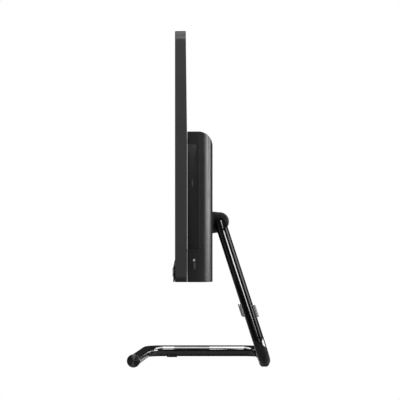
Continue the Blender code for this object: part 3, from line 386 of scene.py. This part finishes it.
def evened(mesh):
    """The mesh with normals that keep its wide faces flat and leave the bending to its rounded edges."""
    obj = bpy.data.objects.new("work", mesh)
    bpy.context.scene.collection.objects.link(obj)
    modifier = obj.modifiers.new("even", "WEIGHTED_NORMAL")
    modifier.keep_sharp = True
    modifier.weight = 100
    result = evaluated(obj)
    bpy.data.objects.remove(obj)
    return result


def shade(mesh, angle=30):
    """Shades the round stretches smooth and keeps edges sharper than the angle."""
    mesh.shade_smooth()
    mesh.set_sharp_from_angle(angle=math.radians(angle))
    return mesh


def blocks(corners):
    """One mesh of separate boxes, each given by its lowest and highest corner."""
    shape = bmesh.new()
    for low, high in corners:
        low, high = Vector(low), Vector(high)
        size = Matrix.Diagonal((*(high - low), 1.0))
        bmesh.ops.create_cube(shape, size=1.0, matrix=Matrix.Translation((low + high) / 2) @ size)
    return mesh_of(shape, "blocks")


def rods(centres, radius, length, axis, sides=32):
    """One mesh of equal cylinders along X, Y or Z."""
    turn = {
        "X": Matrix.Rotation(math.radians(90), 4, "Y"),
        "Y": Matrix.Rotation(math.radians(90), 4, "X"),
    }
    shape = bmesh.new()
    for centre in centres:
        matrix = Matrix.Translation(Vector(centre)) @ turn.get(axis, Matrix.Identity(4))
        bmesh.ops.create_cone(
            shape, cap_ends=True, segments=sides, radius1=radius, radius2=radius, depth=length, matrix=matrix
        )
    return mesh_of(shape, "rods")


def arc(centre, radius, start, end, steps):
    """Points of an arc between two angles in degrees."""
    points = []
    for step in range(steps + 1):
        angle = math.radians(start + (end - start) * step / steps)
        points.append((centre[0] + radius * math.cos(angle), centre[1] + radius * math.sin(angle)))
    return points


def fillet(outline, radius, steps=4):
    """Rounds the corners of a closed outline that goes counterclockwise."""
    rounded = []
    count = len(outline)
    for index in range(count):
        before, corner, after = (Vector(outline[(index + k) % count]) for k in (-1, 0, 1))
        way_in = (corner - before).normalized()
        way_out = (after - corner).normalized()
        turning = way_in.angle(way_out)
        if turning < math.radians(12):
            rounded.append(tuple(corner))
            continue
        shorter = min((corner - before).length, (after - corner).length)
        reach = min(radius * math.tan(turning / 2), 0.45 * shorter)
        start, end = corner - way_in * reach, corner + way_out * reach
        for step in range(steps + 1):
            share = step / steps
            first = start.lerp(corner, share)
            second = corner.lerp(end, share)
            rounded.append(tuple(first.lerp(second, share)))
    return rounded


def strips(shape, rings):
    """Joins rings of equally many points by strips of faces, and gives each ring's vertices."""
    levels = [[shape.verts.new(point) for point in ring] for ring in rings]
    for lower, upper in zip(levels, levels[1:]):
        for index in range(len(lower)):
            after = (index + 1) % len(lower)
            shape.faces.new((lower[index], lower[after], upper[after], upper[index]))
    return levels


def loft(name, rings, angle=30):
    """A solid of rings joined in order, with a flat face over the first and the last."""
    shape = bmesh.new()
    levels = strips(shape, rings)
    shape.faces.new(levels[0])
    shape.faces.new(levels[-1])
    return mesh_of(shape, name, angle)


def extruded(name, outline, low, high, to_space, rounding=0.0, steps=3):
    """A solid of one outline between two depths, whose two rims are rounded by insetting."""
    depths = [(rounding * (1 - math.sin(a)), rounding * (1 - math.cos(a))) for a in quarter(steps)]
    rings = []
    for inset, depth in depths if rounding else [(0, 0)]:
        rings.append([to_space(p, low + depth) for p in inset_outline(outline, inset)])
    for inset, depth in reversed(depths) if rounding else [(0, 0)]:
        rings.append([to_space(p, high - depth) for p in inset_outline(outline, inset)])
    return loft(name, rings)


def quarter(steps):
    """Angles of a quarter turn, from the flat face to the side."""
    return [math.radians(90) * step / steps for step in range(steps + 1)]


def inset_outline(outline, amount):
    """Moves each point of a closed outline inwards along its corner's bisector."""
    if amount <= 0:
        return list(outline)
    moved = []
    count = len(outline)
    area = sum(
        outline[k][0] * outline[(k + 1) % count][1] - outline[(k + 1) % count][0] * outline[k][1]
        for k in range(count)
    )
    hand = 1 if area > 0 else -1
    for index in range(count):
        before, here, after = (Vector(outline[(index + k) % count]) for k in (-1, 0, 1))
        way_in = (here - before).normalized()
        way_out = (after - here).normalized()
        normal_in = Vector((-way_in.y, way_in.x)) * hand
        normal_out = Vector((-way_out.y, way_out.x)) * hand
        bisector = (normal_in + normal_out).normalized()
        stretch = max(bisector.dot(normal_in), 0.35)
        moved.append(tuple(here + bisector * amount / stretch))
    return moved


def on_side(point, depth):
    """Puts an outline of (Y, Z) at X = depth."""
    return Vector((depth, point[0], point[1]))


def on_front(point, depth):
    """Puts an outline of (X, Z) at Y = depth."""
    return Vector((point[0], depth, point[1]))


def turned(name, profile, steps=64, angle=30):
    """A profile of (radius, height) pairs turned about Z."""
    shape = bmesh.new()
    verts = [shape.verts.new((radius, 0, height)) for radius, height in profile]
    edges = [shape.edges.new(pair) for pair in zip(verts, verts[1:])]
    bmesh.ops.spin(
        shape,
        geom=verts + edges,
        cent=(0, 0, 0),
        axis=(0, 0, 1),
        angle=math.radians(360),
        steps=steps,
        use_merge=True,
    )
    return mesh_of(shape, name, angle)


def bent_path(corners, radius, steps):
    """Points along straight runs whose corners are rounded by arcs."""
    points = [corners[0]]
    for before, corner, after in zip(corners, corners[1:], corners[2:]):
        way_in = (corner - before).normalized()
        way_out = (after - corner).normalized()
        turning = way_in.angle(way_out)
        setback = radius * math.tan(turning / 2)
        centre = corner + (way_out - way_in).normalized() * radius / math.cos(turning / 2)
        spoke = corner - way_in * setback - centre
        axis = way_in.cross(way_out).normalized()
        for step in range(steps + 1):
            points.append(centre + Matrix.Rotation(turning * step / steps, 3, axis) @ spoke)
    points.append(corners[-1])
    return points


def swept(name, points, radius, sides):
    """A round bar along a path, its rings carried along without twist."""
    side = None
    rings = []
    for index, point in enumerate(points):
        before = points[max(index - 1, 0)]
        after = points[min(index + 1, len(points) - 1)]
        along = (after - before).normalized()
        if side is None:
            side = along.orthogonal().normalized()
        side = (side - along * side.dot(along)).normalized()
        across = along.cross(side)
        ring = []
        for step in range(sides):
            turn = 2 * math.pi * step / sides
            ring.append(point + (side * math.cos(turn) + across * math.sin(turn)) * radius)
        rings.append(ring)
    return loft(name, rings)


# ---------------------------------------------------------------- display slab


def slab_outline(low, high, top_radius, bottom_radius, seam_z):
    """Front outline with a point on each side at the height where the back starts to slope."""
    steps = SLAB_CORNER_STEPS
    points = arc((high.x - top_radius, high.z - top_radius), top_radius, 0, 90, steps)
    points += arc((low.x + top_radius, high.z - top_radius), top_radius, 90, 180, steps)
    points += [(low.x, seam_z)]
    points += arc((low.x + bottom_radius, low.z + bottom_radius), bottom_radius, 180, 270, steps)
    points += arc((high.x - bottom_radius, low.z + bottom_radius), bottom_radius, 270, 360, steps)
    points += [(high.x, seam_z)]
    return points


def make_slab():
    """The back cover of the display: a tray with rounded rims whose back slopes near the top."""
    low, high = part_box("panel_shell")
    seam_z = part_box("rear_housing")[1].z
    slope = 1.5 * MM / (high.z - seam_z)
    rim = 0.8 * MM
    back_rim = 0.25 * MM
    outline = slab_outline(low, high, 12 * MM, 8 * MM, seam_z)

    def back_at(z):
        return high.y - max(z - seam_z, 0) * slope

    rings = []
    floor_y = -18.7 * MM
    inner = inset_outline(outline, SLAB_WALL)
    rings.append([on_front(p, floor_y) for p in inner])
    rings.append([on_front(p, low.y + 0.3 * MM) for p in inner])
    rings.append([on_front(p, low.y) for p in inset_outline(outline, SLAB_WALL - 0.3 * MM)])
    for angle in quarter(4):
        ring = inset_outline(outline, rim * (1 - math.sin(angle)))
        rings.append([on_front(p, low.y + rim * (1 - math.cos(angle))) for p in ring])
    for angle in reversed(quarter(4)):
        ring = inset_outline(outline, back_rim * (1 - math.sin(angle)))
        lift = back_rim * (1 - math.cos(angle))
        rings.append([on_front(p, back_at(p[1]) - lift) for p in ring])
    shape = bmesh.new()
    levels = strips(shape, rings)
    shape.faces.new(levels[0])
    left_seam = 2 * (SLAB_CORNER_STEPS + 1)
    right_seam = len(outline) - 1
    back = levels[-1]
    shape.faces.new(back[: left_seam + 1] + [back[right_seam]])
    shape.faces.new(back[left_seam : right_seam + 1])
    mesh = evened(mesh_of(shape, "display_back_cover", 25))
    add_piece("display_back_cover", mesh, PANEL_BLACK, "head", ["panel_shell"])


def make_speaker_bar():
    """The glossy bar under the screen, with rounded rims and drilled grilles."""
    low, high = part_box("speaker_bar")
    front_back = -30.3 * MM
    outline = fillet([(low.x, low.z), (high.x, low.z), (high.x, high.z), (low.x, high.z)], 1.2 * MM)
    mesh = extruded("speaker_bar_skin", outline, low.y, front_back, on_front, 1.0 * MM, 4)
    holes = []
    for side in (-1, 1):
        for column in range(22):
            for row in range(4):
                x = side * GRILLE_X + (column - 10.5) * GRILLE_PITCH_X
                holes.append((x, low.y, GRILLE_Z + row * GRILLE_PITCH_Z))
    mesh = baked(mesh, [(rods(holes, 0.75 * MM, 2.4 * MM, "Y", 10), "DIFFERENCE")])
    add_piece("speaker_bar_skin", shade(mesh), BAR_GLOSS, "head", ["speaker_bar"])


# ---------------------------------------------------------------- rear housing


def housing_block(low, high, rounding, segments):
    """A box whose back edges are rounded, apart from the bottom one."""
    shape = bmesh.new()
    size = Matrix.Diagonal((*(high - low), 1.0))
    middle = (low + high) / 2
    bmesh.ops.create_cube(shape, size=1.0, matrix=Matrix.Translation(middle) @ size)
    edges = []
    for edge in shape.edges:
        at_back = all(vert.co.y > middle.y for vert in edge.verts)
        at_bottom = all(vert.co.z < middle.z for vert in edge.verts)
        if at_back and not at_bottom:
            edges.append(edge)
    bmesh.ops.bevel(
        shape,
        geom=edges,
        offset=rounding,
        offset_type="OFFSET",
        segments=segments,
        profile=0.5,
        affect="EDGES",
    )
    return mesh_of(shape, "housing", 30)


def vent_slots(low, high):
    """Slots in the top, in the bottom and behind the fan."""
    fan = Vector(JOINTS["fan_spin"]["pos_m"])
    slots = []
    for index in range(30):
        x = (index - 14.5) * 13 * MM
        for shift in (0, 5 * MM):
            start = (x - 4.5 * MM, -11 * MM + shift, high.z - THROUGH_SIDE)
            end = (x + 4.5 * MM, -8.5 * MM + shift, high.z + THROUGH_SIDE)
            slots.append((start, end))
    for index in range(14):
        x = (index - 6.5) * 26 * MM
        start = (x - 8 * MM, -6 * MM, low.z - THROUGH_SIDE)
        end = (x + 8 * MM, -3.5 * MM, low.z + THROUGH_SIDE)
        slots.append((start, end))
    for index in range(9):
        z = fan.z + (index - 4) * 6.5 * MM
        half = math.sqrt((32 * MM) ** 2 - (z - fan.z) ** 2)
        start = (fan.x - half, high.y - THROUGH_BACK, z - 1.3 * MM)
        end = (fan.x + half, high.y + THROUGH_BACK, z + 1.3 * MM)
        slots.append((start, end))
    return slots


def housing_windows(low, high):
    """Openings for the drive, the lock slot and the sockets on the back and on the far side."""
    drive_low, drive_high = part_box("tray_bezel")
    gap = 0.3 * MM
    windows = [
        (
            (high.x - THROUGH_SIDE, low.y - 5 * MM, drive_low.z - gap),
            (high.x + THROUGH_SIDE, drive_high.y + gap, drive_high.z + gap),
        ),
        (
            (150 * MM, high.y - THROUGH_BACK, 132 * MM),
            (157 * MM, high.y + THROUGH_BACK, 135 * MM),
        ),
    ]
    rear = [(NETWORK_X, NETWORK_OPENING), (HDMI_X, HDMI_OPENING)]
    rear += [(x, USB_OPENING) for x in REAR_USB_X]
    for x, (width, height) in rear:
        start = (x - width / 2, high.y - THROUGH_BACK, SOCKET_Z - height / 2)
        end = (x + width / 2, high.y + THROUGH_BACK, SOCKET_Z + height / 2)
        windows.append((start, end))
    side = [(z, USB_OPENING) for z in SIDE_USB_Z]
    side += [(CARD_Z, CARD_OPENING)]
    for z, (width, height) in side:
        start = (low.x - THROUGH_SIDE, SIDE_SOCKET_Y - height / 2, z - width / 2)
        end = (low.x + THROUGH_SIDE, SIDE_SOCKET_Y + height / 2, z + width / 2)
        windows.append((start, end))
    return windows


def pill_outline(centre, width, height):
    """Outline of an upright bar with round ends."""
    y, z = centre
    rise = (height - width) / 2
    top = arc((y, z + rise), width / 2, 0, 180, 12)
    bottom = arc((y, z - rise), width / 2, 180, 360, 12)
    return top + bottom


def make_housing():
    """The rear housing: a hollow rounded box with all its openings cut."""
    low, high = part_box("rear_housing")
    outer = housing_block(low, high, HOUSING_ROUNDING, 16)
    wall = Vector((HOUSING_WALL, 0, HOUSING_WALL))
    inner_low = low + wall - Vector((0, 10 * MM, 0))
    inner_high = high - wall - Vector((0, HOUSING_WALL, 0))
    inner = housing_block(inner_low, inner_high, HOUSING_ROUNDING - HOUSING_WALL, 8)

    button_low, button_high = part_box("power_button")
    button = centre_of("power_button")
    width = button_high.y - button_low.y + 0.6 * MM
    height = button_high.z - button_low.z + 0.6 * MM
    button_hole = extruded(
        "hole", pill_outline((button.y, button.z), width, height), high.x - 6 * MM, high.x + 6 * MM, on_side
    )
    lamp = centre_of("power_lamp")
    screws = [centre_of(f"housing_screw_{index}") for index in range(1, 5)]
    screws = [(middle.x, high.y, middle.z) for middle in screws]
    jack = [(centre_of("dc_jack").x, high.y, SOCKET_Z)]
    audio = [(low.x, SIDE_SOCKET_Y, z) for z in AUDIO_Z]
    tools = [
        (inner, "DIFFERENCE"),
        (blocks(housing_windows(low, high)), "DIFFERENCE"),
        (blocks(vent_slots(low, high)), "DIFFERENCE"),
        (button_hole, "DIFFERENCE"),
        (rods([(high.x, lamp.y, lamp.z)], 1.75 * MM, 12 * MM, "X"), "DIFFERENCE"),
        (rods(screws, 1.9 * MM, 12 * MM, "Y", 20), "DIFFERENCE"),
        (rods(screws, 3.3 * MM, 2.8 * MM, "Y", 40), "DIFFERENCE"),
        (rods(jack, 4.4 * MM, 12 * MM, "Y", 40), "DIFFERENCE"),
        (rods(audio, 3.2 * MM, 12 * MM, "X", 32), "DIFFERENCE"),
    ]
    mesh = evened(shade(baked(outer, tools, 0.7 * MM, 3, 60)))
    add_piece("housing_skin", mesh, HOUSING_BLACK, "head", ["rear_housing"])


# ---------------------------------------------------------------- side controls


def make_side_controls():
    """Pill-shaped power button, status lamp and the drive's button, all with rounded rims."""
    low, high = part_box("power_button")
    centre = centre_of("power_button")
    outline = pill_outline((centre.y, centre.z), high.y - low.y, high.z - low.z)
    mesh = extruded("power_button_cap", outline, low.x, high.x, on_side, 0.5 * MM, 4)
    add_piece("power_button_cap", mesh, BUTTON_BLACK, "power", ["power_button"])

    low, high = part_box("power_lamp")
    radius = (high.y - low.y) / 2
    length = high.x - low.x
    profile = [(0, length)]
    profile += [(radius * 0.35, length - 0.03 * MM), (radius * 0.7, length - 0.12 * MM)]
    profile += [(radius * 0.92, length - 0.3 * MM), (radius, length - 0.6 * MM), (radius, 0), (0, 0)]
    centre = centre_of("power_lamp")
    place_at = (low.x, centre.y, centre.z)
    mesh = turned("lamp_light_guide", profile, 40)
    add_piece("lamp_light_guide", mesh, LAMP_AND_GLINT_LENS, "head", ["power_lamp"], place_at, FACING_RIGHT)

    low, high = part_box("eject_button")
    outline = fillet(rectangle(low, high), 0.6 * MM, 5)
    mesh = extruded("eject_key", outline, low.x, high.x, on_side, 0.3 * MM, 3)
    add_piece("eject_key", mesh, BUTTON_BLACK, "eject", ["eject_button"])


def make_drive_front():
    """The drive's front with softened rims, a groove, key and pin openings, and a small lens on the eject
    key whose glow is a painted highlight.
    """
    low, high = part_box("tray_bezel")
    key_low, key_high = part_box("eject_button")
    outline = fillet(rectangle(low, high), 0.5 * MM, 4)
    body = extruded("drive_front", outline, low.x, high.x, on_side, 0.35 * MM, 3)
    margin = Vector((6 * MM, 0.3 * MM, 0.3 * MM))
    key = centre_of("eject_button")
    groove_y = high.y - 1.5 * MM
    half_groove = 0.15 * MM
    groove = (
        (high.x - 0.25 * MM, groove_y - half_groove, low.z - 1 * MM),
        (high.x + 1 * MM, groove_y + half_groove, high.z + 1 * MM),
    )
    tools = [
        (blocks([(key_low - margin, key_high + margin)]), "DIFFERENCE"),
        (rods([(high.x, key.y, key.z - 16 * MM)], 0.7 * MM, 12 * MM, "X", 20), "DIFFERENCE"),
        (blocks([groove]), "DIFFERENCE"),
    ]
    mesh = shade(baked(body, tools))
    add_piece("drive_front", mesh, DRIVE_BLACK, "tray", ["tray_bezel"])
    # Painted highlight: the faint glow of this lens on the eject key stands in for a glint of light there.
    glint_place = (key_high.x - 0.1 * MM, key.y, key.z + 1 * MM)
    lamp = rods([glint_place], 0.55 * MM, 0.2 * MM, "X", 20)
    add_piece("drive_lamp_painted_glint", lamp, LAMP_AND_GLINT_LENS, "eject")


# ---------------------------------------------------------------- tilt hinge


def make_hinge():
    """The hinge's bracket with its round knuckle, the bush in it and the cap on its far end."""
    axis = Vector(JOINTS["head_tilt"]["pos_m"])
    low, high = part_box("hinge_bracket")
    radius = high.y - axis.y
    outline = [(low.y, high.z - 0.2 * MM), (low.y, low.z), (axis.y - 1 * MM, low.z + 1.4 * MM)]
    outline += arc((axis.y, axis.z), radius, -75, 95, 40)
    mesh = extruded("hinge_bracket_skin", outline, low.x, high.x, on_side, 0.8 * MM, 4)
    bore = rods([(0, axis.y, axis.z)], 9.9 * MM, 60 * MM, "X", 64)
    screws = [centre_of(f"hinge_screw_{index}") for index in range(1, 5)]
    screws = [(middle.x, low.y, middle.z) for middle in screws]
    holes = rods(screws, 1.9 * MM, 10 * MM, "Y", 20)
    mesh = baked(mesh, [(bore, "DIFFERENCE"), (holes, "DIFFERENCE")])
    add_piece("hinge_bracket_skin", shade(mesh), BRACKET_BLACK, "head", ["hinge_bracket"])

    low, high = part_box("hinge_bush")
    flange = (high.z - low.z) / 2
    inner = TUBE_RADIUS + 0.3 * MM
    barrel = 9.6 * MM
    step_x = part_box("hinge_bracket")[1].x + 0.3 * MM
    profile = [
        (inner, high.x),
        (flange - 0.3 * MM, high.x),
        (flange, high.x - 0.3 * MM),
        (flange, step_x),
        (barrel, step_x),
        (barrel, low.x),
        (inner, low.x),
        (inner, high.x),
    ]
    mesh = turned("hinge_bush_skin", profile, 72)
    place_at = (0, axis.y, axis.z)
    add_piece(
        "hinge_bush_skin", mesh, INNER_BLACK, "head", ["hinge_bush"], place_at, FACING_RIGHT
    )

    low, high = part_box("hinge_cap")
    outer = (high.z - low.z) / 2
    end, rim = -low.x, -high.x
    round_off = 2.2 * MM
    bore = 9.8 * MM
    profile = [(0, end), (outer - round_off, end)]
    for a in quarter(6):
        profile.append((outer - round_off + round_off * math.sin(a), end - round_off * (1 - math.cos(a))))
    profile += [(outer, rim), (bore, rim), (bore, end - 1.5 * MM), (0, end - 1.5 * MM)]
    mesh = turned("hinge_cap_skin", profile, 72)
    add_piece(
        "hinge_cap_skin", mesh, INNER_BLACK, "head", ["hinge_cap"], place_at, FACING_LEFT
    )


# ---------------------------------------------------------------- stand


def stand_corners():
    """The sharp corners of the tube's centre line, from the hinge to the free end."""
    low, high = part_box("stand_tube")
    axis = Vector(JOINTS["head_tilt"]["pos_m"])
    base_z = low.z + TUBE_RADIUS
    half_width = -low.x - TUBE_RADIUS
    back = high.y - TUBE_RADIUS
    return [
        Vector((-22.3 * MM, axis.y, axis.z)),
        Vector((LEG_TOP_X, axis.y, axis.z)),
        Vector((half_width, back, base_z)),
        Vector((-half_width, back, base_z)),
        Vector((-half_width, BASE_FRONT, base_z)),
        Vector((*FOOT_END_XY, base_z)),
    ]


def make_stand():
    """The bent tube, the cap on its free end and the clip on its leg."""
    corners = stand_corners()
    path = bent_path(corners, TUBE_BEND_RADIUS, 28)
    mesh = swept("bent_tube", path, TUBE_RADIUS, 64)
    add_piece("bent_tube", mesh, TUBE_ENAMEL, "stand", ["stand_tube"])

    along = (corners[-1] - corners[-2]).normalized()
    round_off = 1.2 * MM
    shoulder = CAP_RADIUS - round_off
    plug = 5.8 * MM
    profile = [(0, 3.4 * MM), (1.2 * MM, 3.36 * MM), (6.6 * MM, 2.95 * MM)]
    for a in quarter(6):
        profile.append((shoulder + round_off * math.sin(a), 1.55 * MM + round_off * math.cos(a)))
    profile += [(CAP_RADIUS, 0.3 * MM), (7.3 * MM, 0.3 * MM), (plug, 0.3 * MM)]
    profile += [(plug, -14 * MM), (0, -14 * MM)]
    mesh = turned("foot_cap", profile, 72, 40)
    turn = along.to_track_quat("Z", "Y").to_euler()
    add_piece(
        "foot_cap", mesh, CAP_GLOSS, "stand", ["tube_end_cap"], corners[-1], turn
    )
    make_clip(corners)


def make_clip(corners):
    """A C-shaped clip round the leg with level ends, and a hook for a cable on its inner side."""
    top, bottom = corners[1], corners[2]
    along = (top - bottom).normalized()
    centre = bottom + (top - bottom) * (CLIP_Z - bottom.z) / (top.z - bottom.z)
    side = (Vector((1, 0, 0)) - along * along.x).normalized()
    across = along.cross(side)
    grip = TUBE_RADIUS + 0.3 * MM
    outer = grip + 2.6 * MM
    hook_centre = (-outer - 3.6 * MM, -5.3 * MM)

    def on_leg(point, depth):
        rise = side.z * point[0] + across.z * point[1]
        return centre + side * point[0] + across * point[1] + along * (depth - rise / along.z)

    half = CLIP_LENGTH / 2
    ring_outline = arc((0, 0), outer, 58, 302, 48) + arc((0, 0), grip, 302, 58, 48)
    ring = extruded("clip_ring", ring_outline, -half, half, on_leg, 0.5 * MM, 3)
    hook_outline = arc(hook_centre, 7 * MM, 25, 235, 40) + arc(hook_centre, 5 * MM, 235, 25, 40)
    hook = extruded("clip_hook", hook_outline, -half, half, on_leg, 0.5 * MM, 3)
    mesh = shade(baked(ring, [(hook, "UNION")]))
    add_piece("cable_clip_skin", mesh, CLIP_GREY, "stand", ["cable_clip"])


# ---------------------------------------------------------------- small pieces


def make_webcam():
    """The webcam's sunk lens in a raised ring."""
    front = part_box("webcam_module")[0].y
    centre = centre_of("webcam_module")
    profile = [(0, 0.6 * MM), (0.9 * MM, 0.5 * MM), (1.6 * MM, 0.2 * MM), (1.7 * MM, 0.2 * MM)]
    profile += [(2.3 * MM, 1.3 * MM), (2.5 * MM, 1.5 * MM), (2.9 * MM, 1.5 * MM), (3.1 * MM, 1.3 * MM)]
    profile += [(3.1 * MM, -1.2 * MM), (6 * MM, -1.2 * MM), (6 * MM, -5 * MM), (0, -5 * MM)]
    mesh = turned("webcam_eye", profile, 64)
    place_at = (centre.x, front + 1.5 * MM, centre.z)
    replaced = ["webcam_module"]
    add_piece("webcam_eye", mesh, BAR_GLOSS, "head", replaced, place_at, FACING_FRONT)


def make_screws():
    """The housing's screws, with flat heads sunk flush and a cross recess."""
    for index in range(1, 5):
        node = f"housing_screw_{index}"
        low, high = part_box(node)
        middle = centre_of(node)
        head = (high.x - low.x) / 2
        top = 1 * MM
        seat = high.y - top
        profile = [(0, top), (head - 0.4 * MM, top), (head - 0.1 * MM, top - 0.12 * MM)]
        profile += [(head, top - 0.4 * MM), (head, 0), (1.5 * MM, 0), (1.5 * MM, -6 * MM), (0, -6 * MM)]
        mesh = turned("screw", profile, 40)
        arm, width, depth = 1.5 * MM, 0.4 * MM, 0.7 * MM
        cross = [
            ((-arm, -width, top - depth), (arm, width, top + 1 * MM)),
            ((-width, -arm, top - depth), (width, arm, top + 1 * MM)),
        ]
        tools = [(blocks([box]), "DIFFERENCE") for box in cross]
        mesh = shade(baked(mesh, tools))
        place_at = (middle.x, seat, middle.z)
        add_piece(f"screw_head_{index}", mesh, STEEL, "head", [node], place_at, FACING_BACK)


def make_tongue(name, low, high, rounding):
    """The plastic tongue that carries a socket's contacts."""
    mesh = shade(baked(blocks([(low, high)]), [], rounding, 2))
    add_piece(name, mesh, INNER_BLACK, "head")


def make_contacts():
    """Contact tongues and the power jack's pin, inside the sockets."""
    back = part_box("usb_ports_rear")[1].y
    for index, x in enumerate(REAR_USB_X, start=1):
        low = (x - 5.6 * MM, back - 11 * MM, SOCKET_Z + 0.2 * MM)
        high = (x + 5.6 * MM, back - 1 * MM, SOCKET_Z + 2 * MM)
        make_tongue(f"usb_tongue_rear_{index}", low, high, 0.25 * MM)
    low = (HDMI_X - 5.8 * MM, back - 8.5 * MM, SOCKET_Z - 0.5 * MM)
    high = (HDMI_X + 5.8 * MM, back - 1 * MM, SOCKET_Z + 0.5 * MM)
    make_tongue("hdmi_tongue", low, high, 0.2 * MM)

    pitch = 1.02 * MM
    pins = [(NETWORK_X + (k - 3.5) * pitch, back - 8 * MM, SOCKET_Z + 3 * MM) for k in range(8)]
    mesh = rods(pins, 0.25 * MM, 9 * MM, "Y", 10)
    add_piece("network_contacts", mesh, GOLD, "head")
    pin = rods([(POWER_X, back - 5.5 * MM, SOCKET_Z)], 0.8 * MM, 8.6 * MM, "Y", 24)
    add_piece("power_pin", shade(baked(pin, [], 0.25 * MM, 3)), STEEL, "head")

    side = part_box("usb_ports_side")[0].x
    for index, z in enumerate(SIDE_USB_Z, start=1):
        low = (side + 1 * MM, SIDE_SOCKET_Y + 0.2 * MM, z - 5.6 * MM)
        high = (side + 9 * MM, SIDE_SOCKET_Y + 2 * MM, z + 5.6 * MM)
        make_tongue(f"usb_tongue_side_{index}", low, high, 0.25 * MM)


def paint_cad_nodes():
    """Gives every CAD node a detailed material. The replaced ones are hidden."""
    paints = {
        "front_bezel": BEZEL_BLACK,
        "lcd_glass": SCREEN,
        "lcd_module": PANEL_GREY,
        "disc_tray": INNER_BLACK,
        "laser_sled": INNER_BLACK,
        "fan_rotor": INNER_BLACK,
        "fan_shroud": INNER_BLACK,
        "speaker_left": INNER_BLACK,
        "speaker_right": INNER_BLACK,
        "dc_jack": INNER_BLACK,
        "audio_jacks": INNER_BLACK,
        "fin_stack": ALUMINIUM,
        "hard_drive": ALUMINIUM,
        "cpu_heatsink": COPPER,
        "heat_pipe": COPPER,
        "panel_board": BOARD,
        "motherboard": BOARD,
        "memory_module": BOARD,
        "wireless_card": BOARD,
        "side_io_board": BOARD,
        "power_board": BOARD,
    }
    for name, node in NODES.items():
        paint = paints.get(name, STEEL)
        if name.startswith("foot_pad"):
            paint = PAD_RUBBER
        node.data.materials.clear()
        node.data.materials.append(paint)


# ---------------------------------------------------------------- studio


def camera_only_white(tree, shader, output, name):
    """White to the camera, and the given dimmer shader to every reflection and bounce."""
    white = tree.nodes.new(name)
    white.inputs["Color"].default_value = (1.0, 1.0, 1.0, 1.0)
    path = tree.nodes.new("ShaderNodeLightPath")
    mix = tree.nodes.new("ShaderNodeMixShader")
    tree.links.new(path.outputs["Is Camera Ray"], mix.inputs["Fac"])
    tree.links.new(shader.outputs[0], mix.inputs[1])
    tree.links.new(white.outputs[0], mix.inputs[2])
    tree.links.new(mix.outputs["Shader"], output.inputs["Surface"])


def make_floor():
    """The table top: white to the camera, dark grey to reflections and bounces."""
    shape = bmesh.new()
    bmesh.ops.create_grid(shape, x_segments=1, y_segments=1, size=3.0)
    mesh = bpy.data.meshes.new("floor")
    shape.to_mesh(mesh)
    shape.free()
    floor = bpy.data.objects.new("floor", mesh)
    floor.location = (1.2, 0, 0)
    bpy.context.scene.collection.objects.link(floor)
    surface = Surface("pale_floor", (0.15, 0.15, 0.15), 0.8)
    surface.vary_colour(surface.noise(3, 2), 0.02)
    output = surface.tree.nodes["Material Output"]
    camera_only_white(surface.tree, surface.shader, output, "ShaderNodeEmission")
    mesh.materials.append(surface.material)


def add_light(name, location, target, width, height, radiance):
    """A rectangular area light of a given radiance, aimed at a point. Unturned, it faces down."""
    data = bpy.data.lights.new(name, "AREA")
    data.shape = "RECTANGLE"
    data.size = width
    data.size_y = height
    data.energy = radiance * math.pi * width * height
    light = bpy.data.objects.new(name, data)
    light.location = location
    aim = Vector(target) - Vector(location)
    if aim.xy.length > 0:
        light.rotation_euler = aim.to_track_quat("-Z", "Y").to_euler()
    bpy.context.scene.collection.objects.link(light)


def make_world():
    """The surroundings: white to the camera, nearly black to reflections and bounces."""
    world = bpy.data.worlds.new("studio")
    bpy.context.scene.world = world
    world.use_nodes = True
    tree = world.node_tree
    background = tree.nodes["Background"]
    background.inputs["Color"].default_value = (0.02, 0.02, 0.021, 1.0)
    camera_only_white(tree, background, tree.nodes["World Output"], "ShaderNodeBackground")


def make_studio():
    """Floor, surroundings and lights. under_card hangs just below the housing, to light the far rail."""
    make_floor()
    make_world()
    target = (0, 0, 0.2)
    add_light("key_box", (2.31, -0.39, 2.0), target, 1.6, 0.55, 16)
    add_light("rear_box", (0.35, 2.2, 0.56), (0.35, 0, 0.56), 1.9, 0.72, 13)
    add_light("rear_high_box", (0.2, 2.0, 1.7), target, 1.5, 0.8, 2.0)
    add_light("overhead", (0.46, 0.0, 2.6), (0.46, 0, 0), 2.6, 0.35, 7)
    add_light("under_card", (-0.076, 0.008, 0.112), (-0.076, 0.008, 0), 0.068, 0.15, 10)
    add_light("front_left_fill", (-1.9, -2.1, 0.3), target, 2.4, 0.9, 3.0)
    add_light("side_fill", (2.6, 0.6, 0.9), target, 0.9, 0.9, 1.2)


def make_camera():
    """A long lens level with the object, looking along -X at its side."""
    data = bpy.data.cameras.new("camera")
    data.sensor_width = 36
    data.lens = CAMERA_LENS
    camera = bpy.data.objects.new("camera", data)
    data.shift_x, data.shift_y = CAMERA_SHIFT
    camera.location = CAMERA_PLACE
    camera.rotation_euler = (math.radians(90), 0, math.radians(90))
    bpy.context.scene.collection.objects.link(camera)
    bpy.context.scene.camera = camera
    bpy.context.scene.view_settings.view_transform = "Standard"


make_camera()
paint_cad_nodes()
make_slab()
make_speaker_bar()
make_housing()
make_side_controls()
make_drive_front()
make_hinge()
make_stand()
make_webcam()
make_screws()
make_contacts()
make_studio()
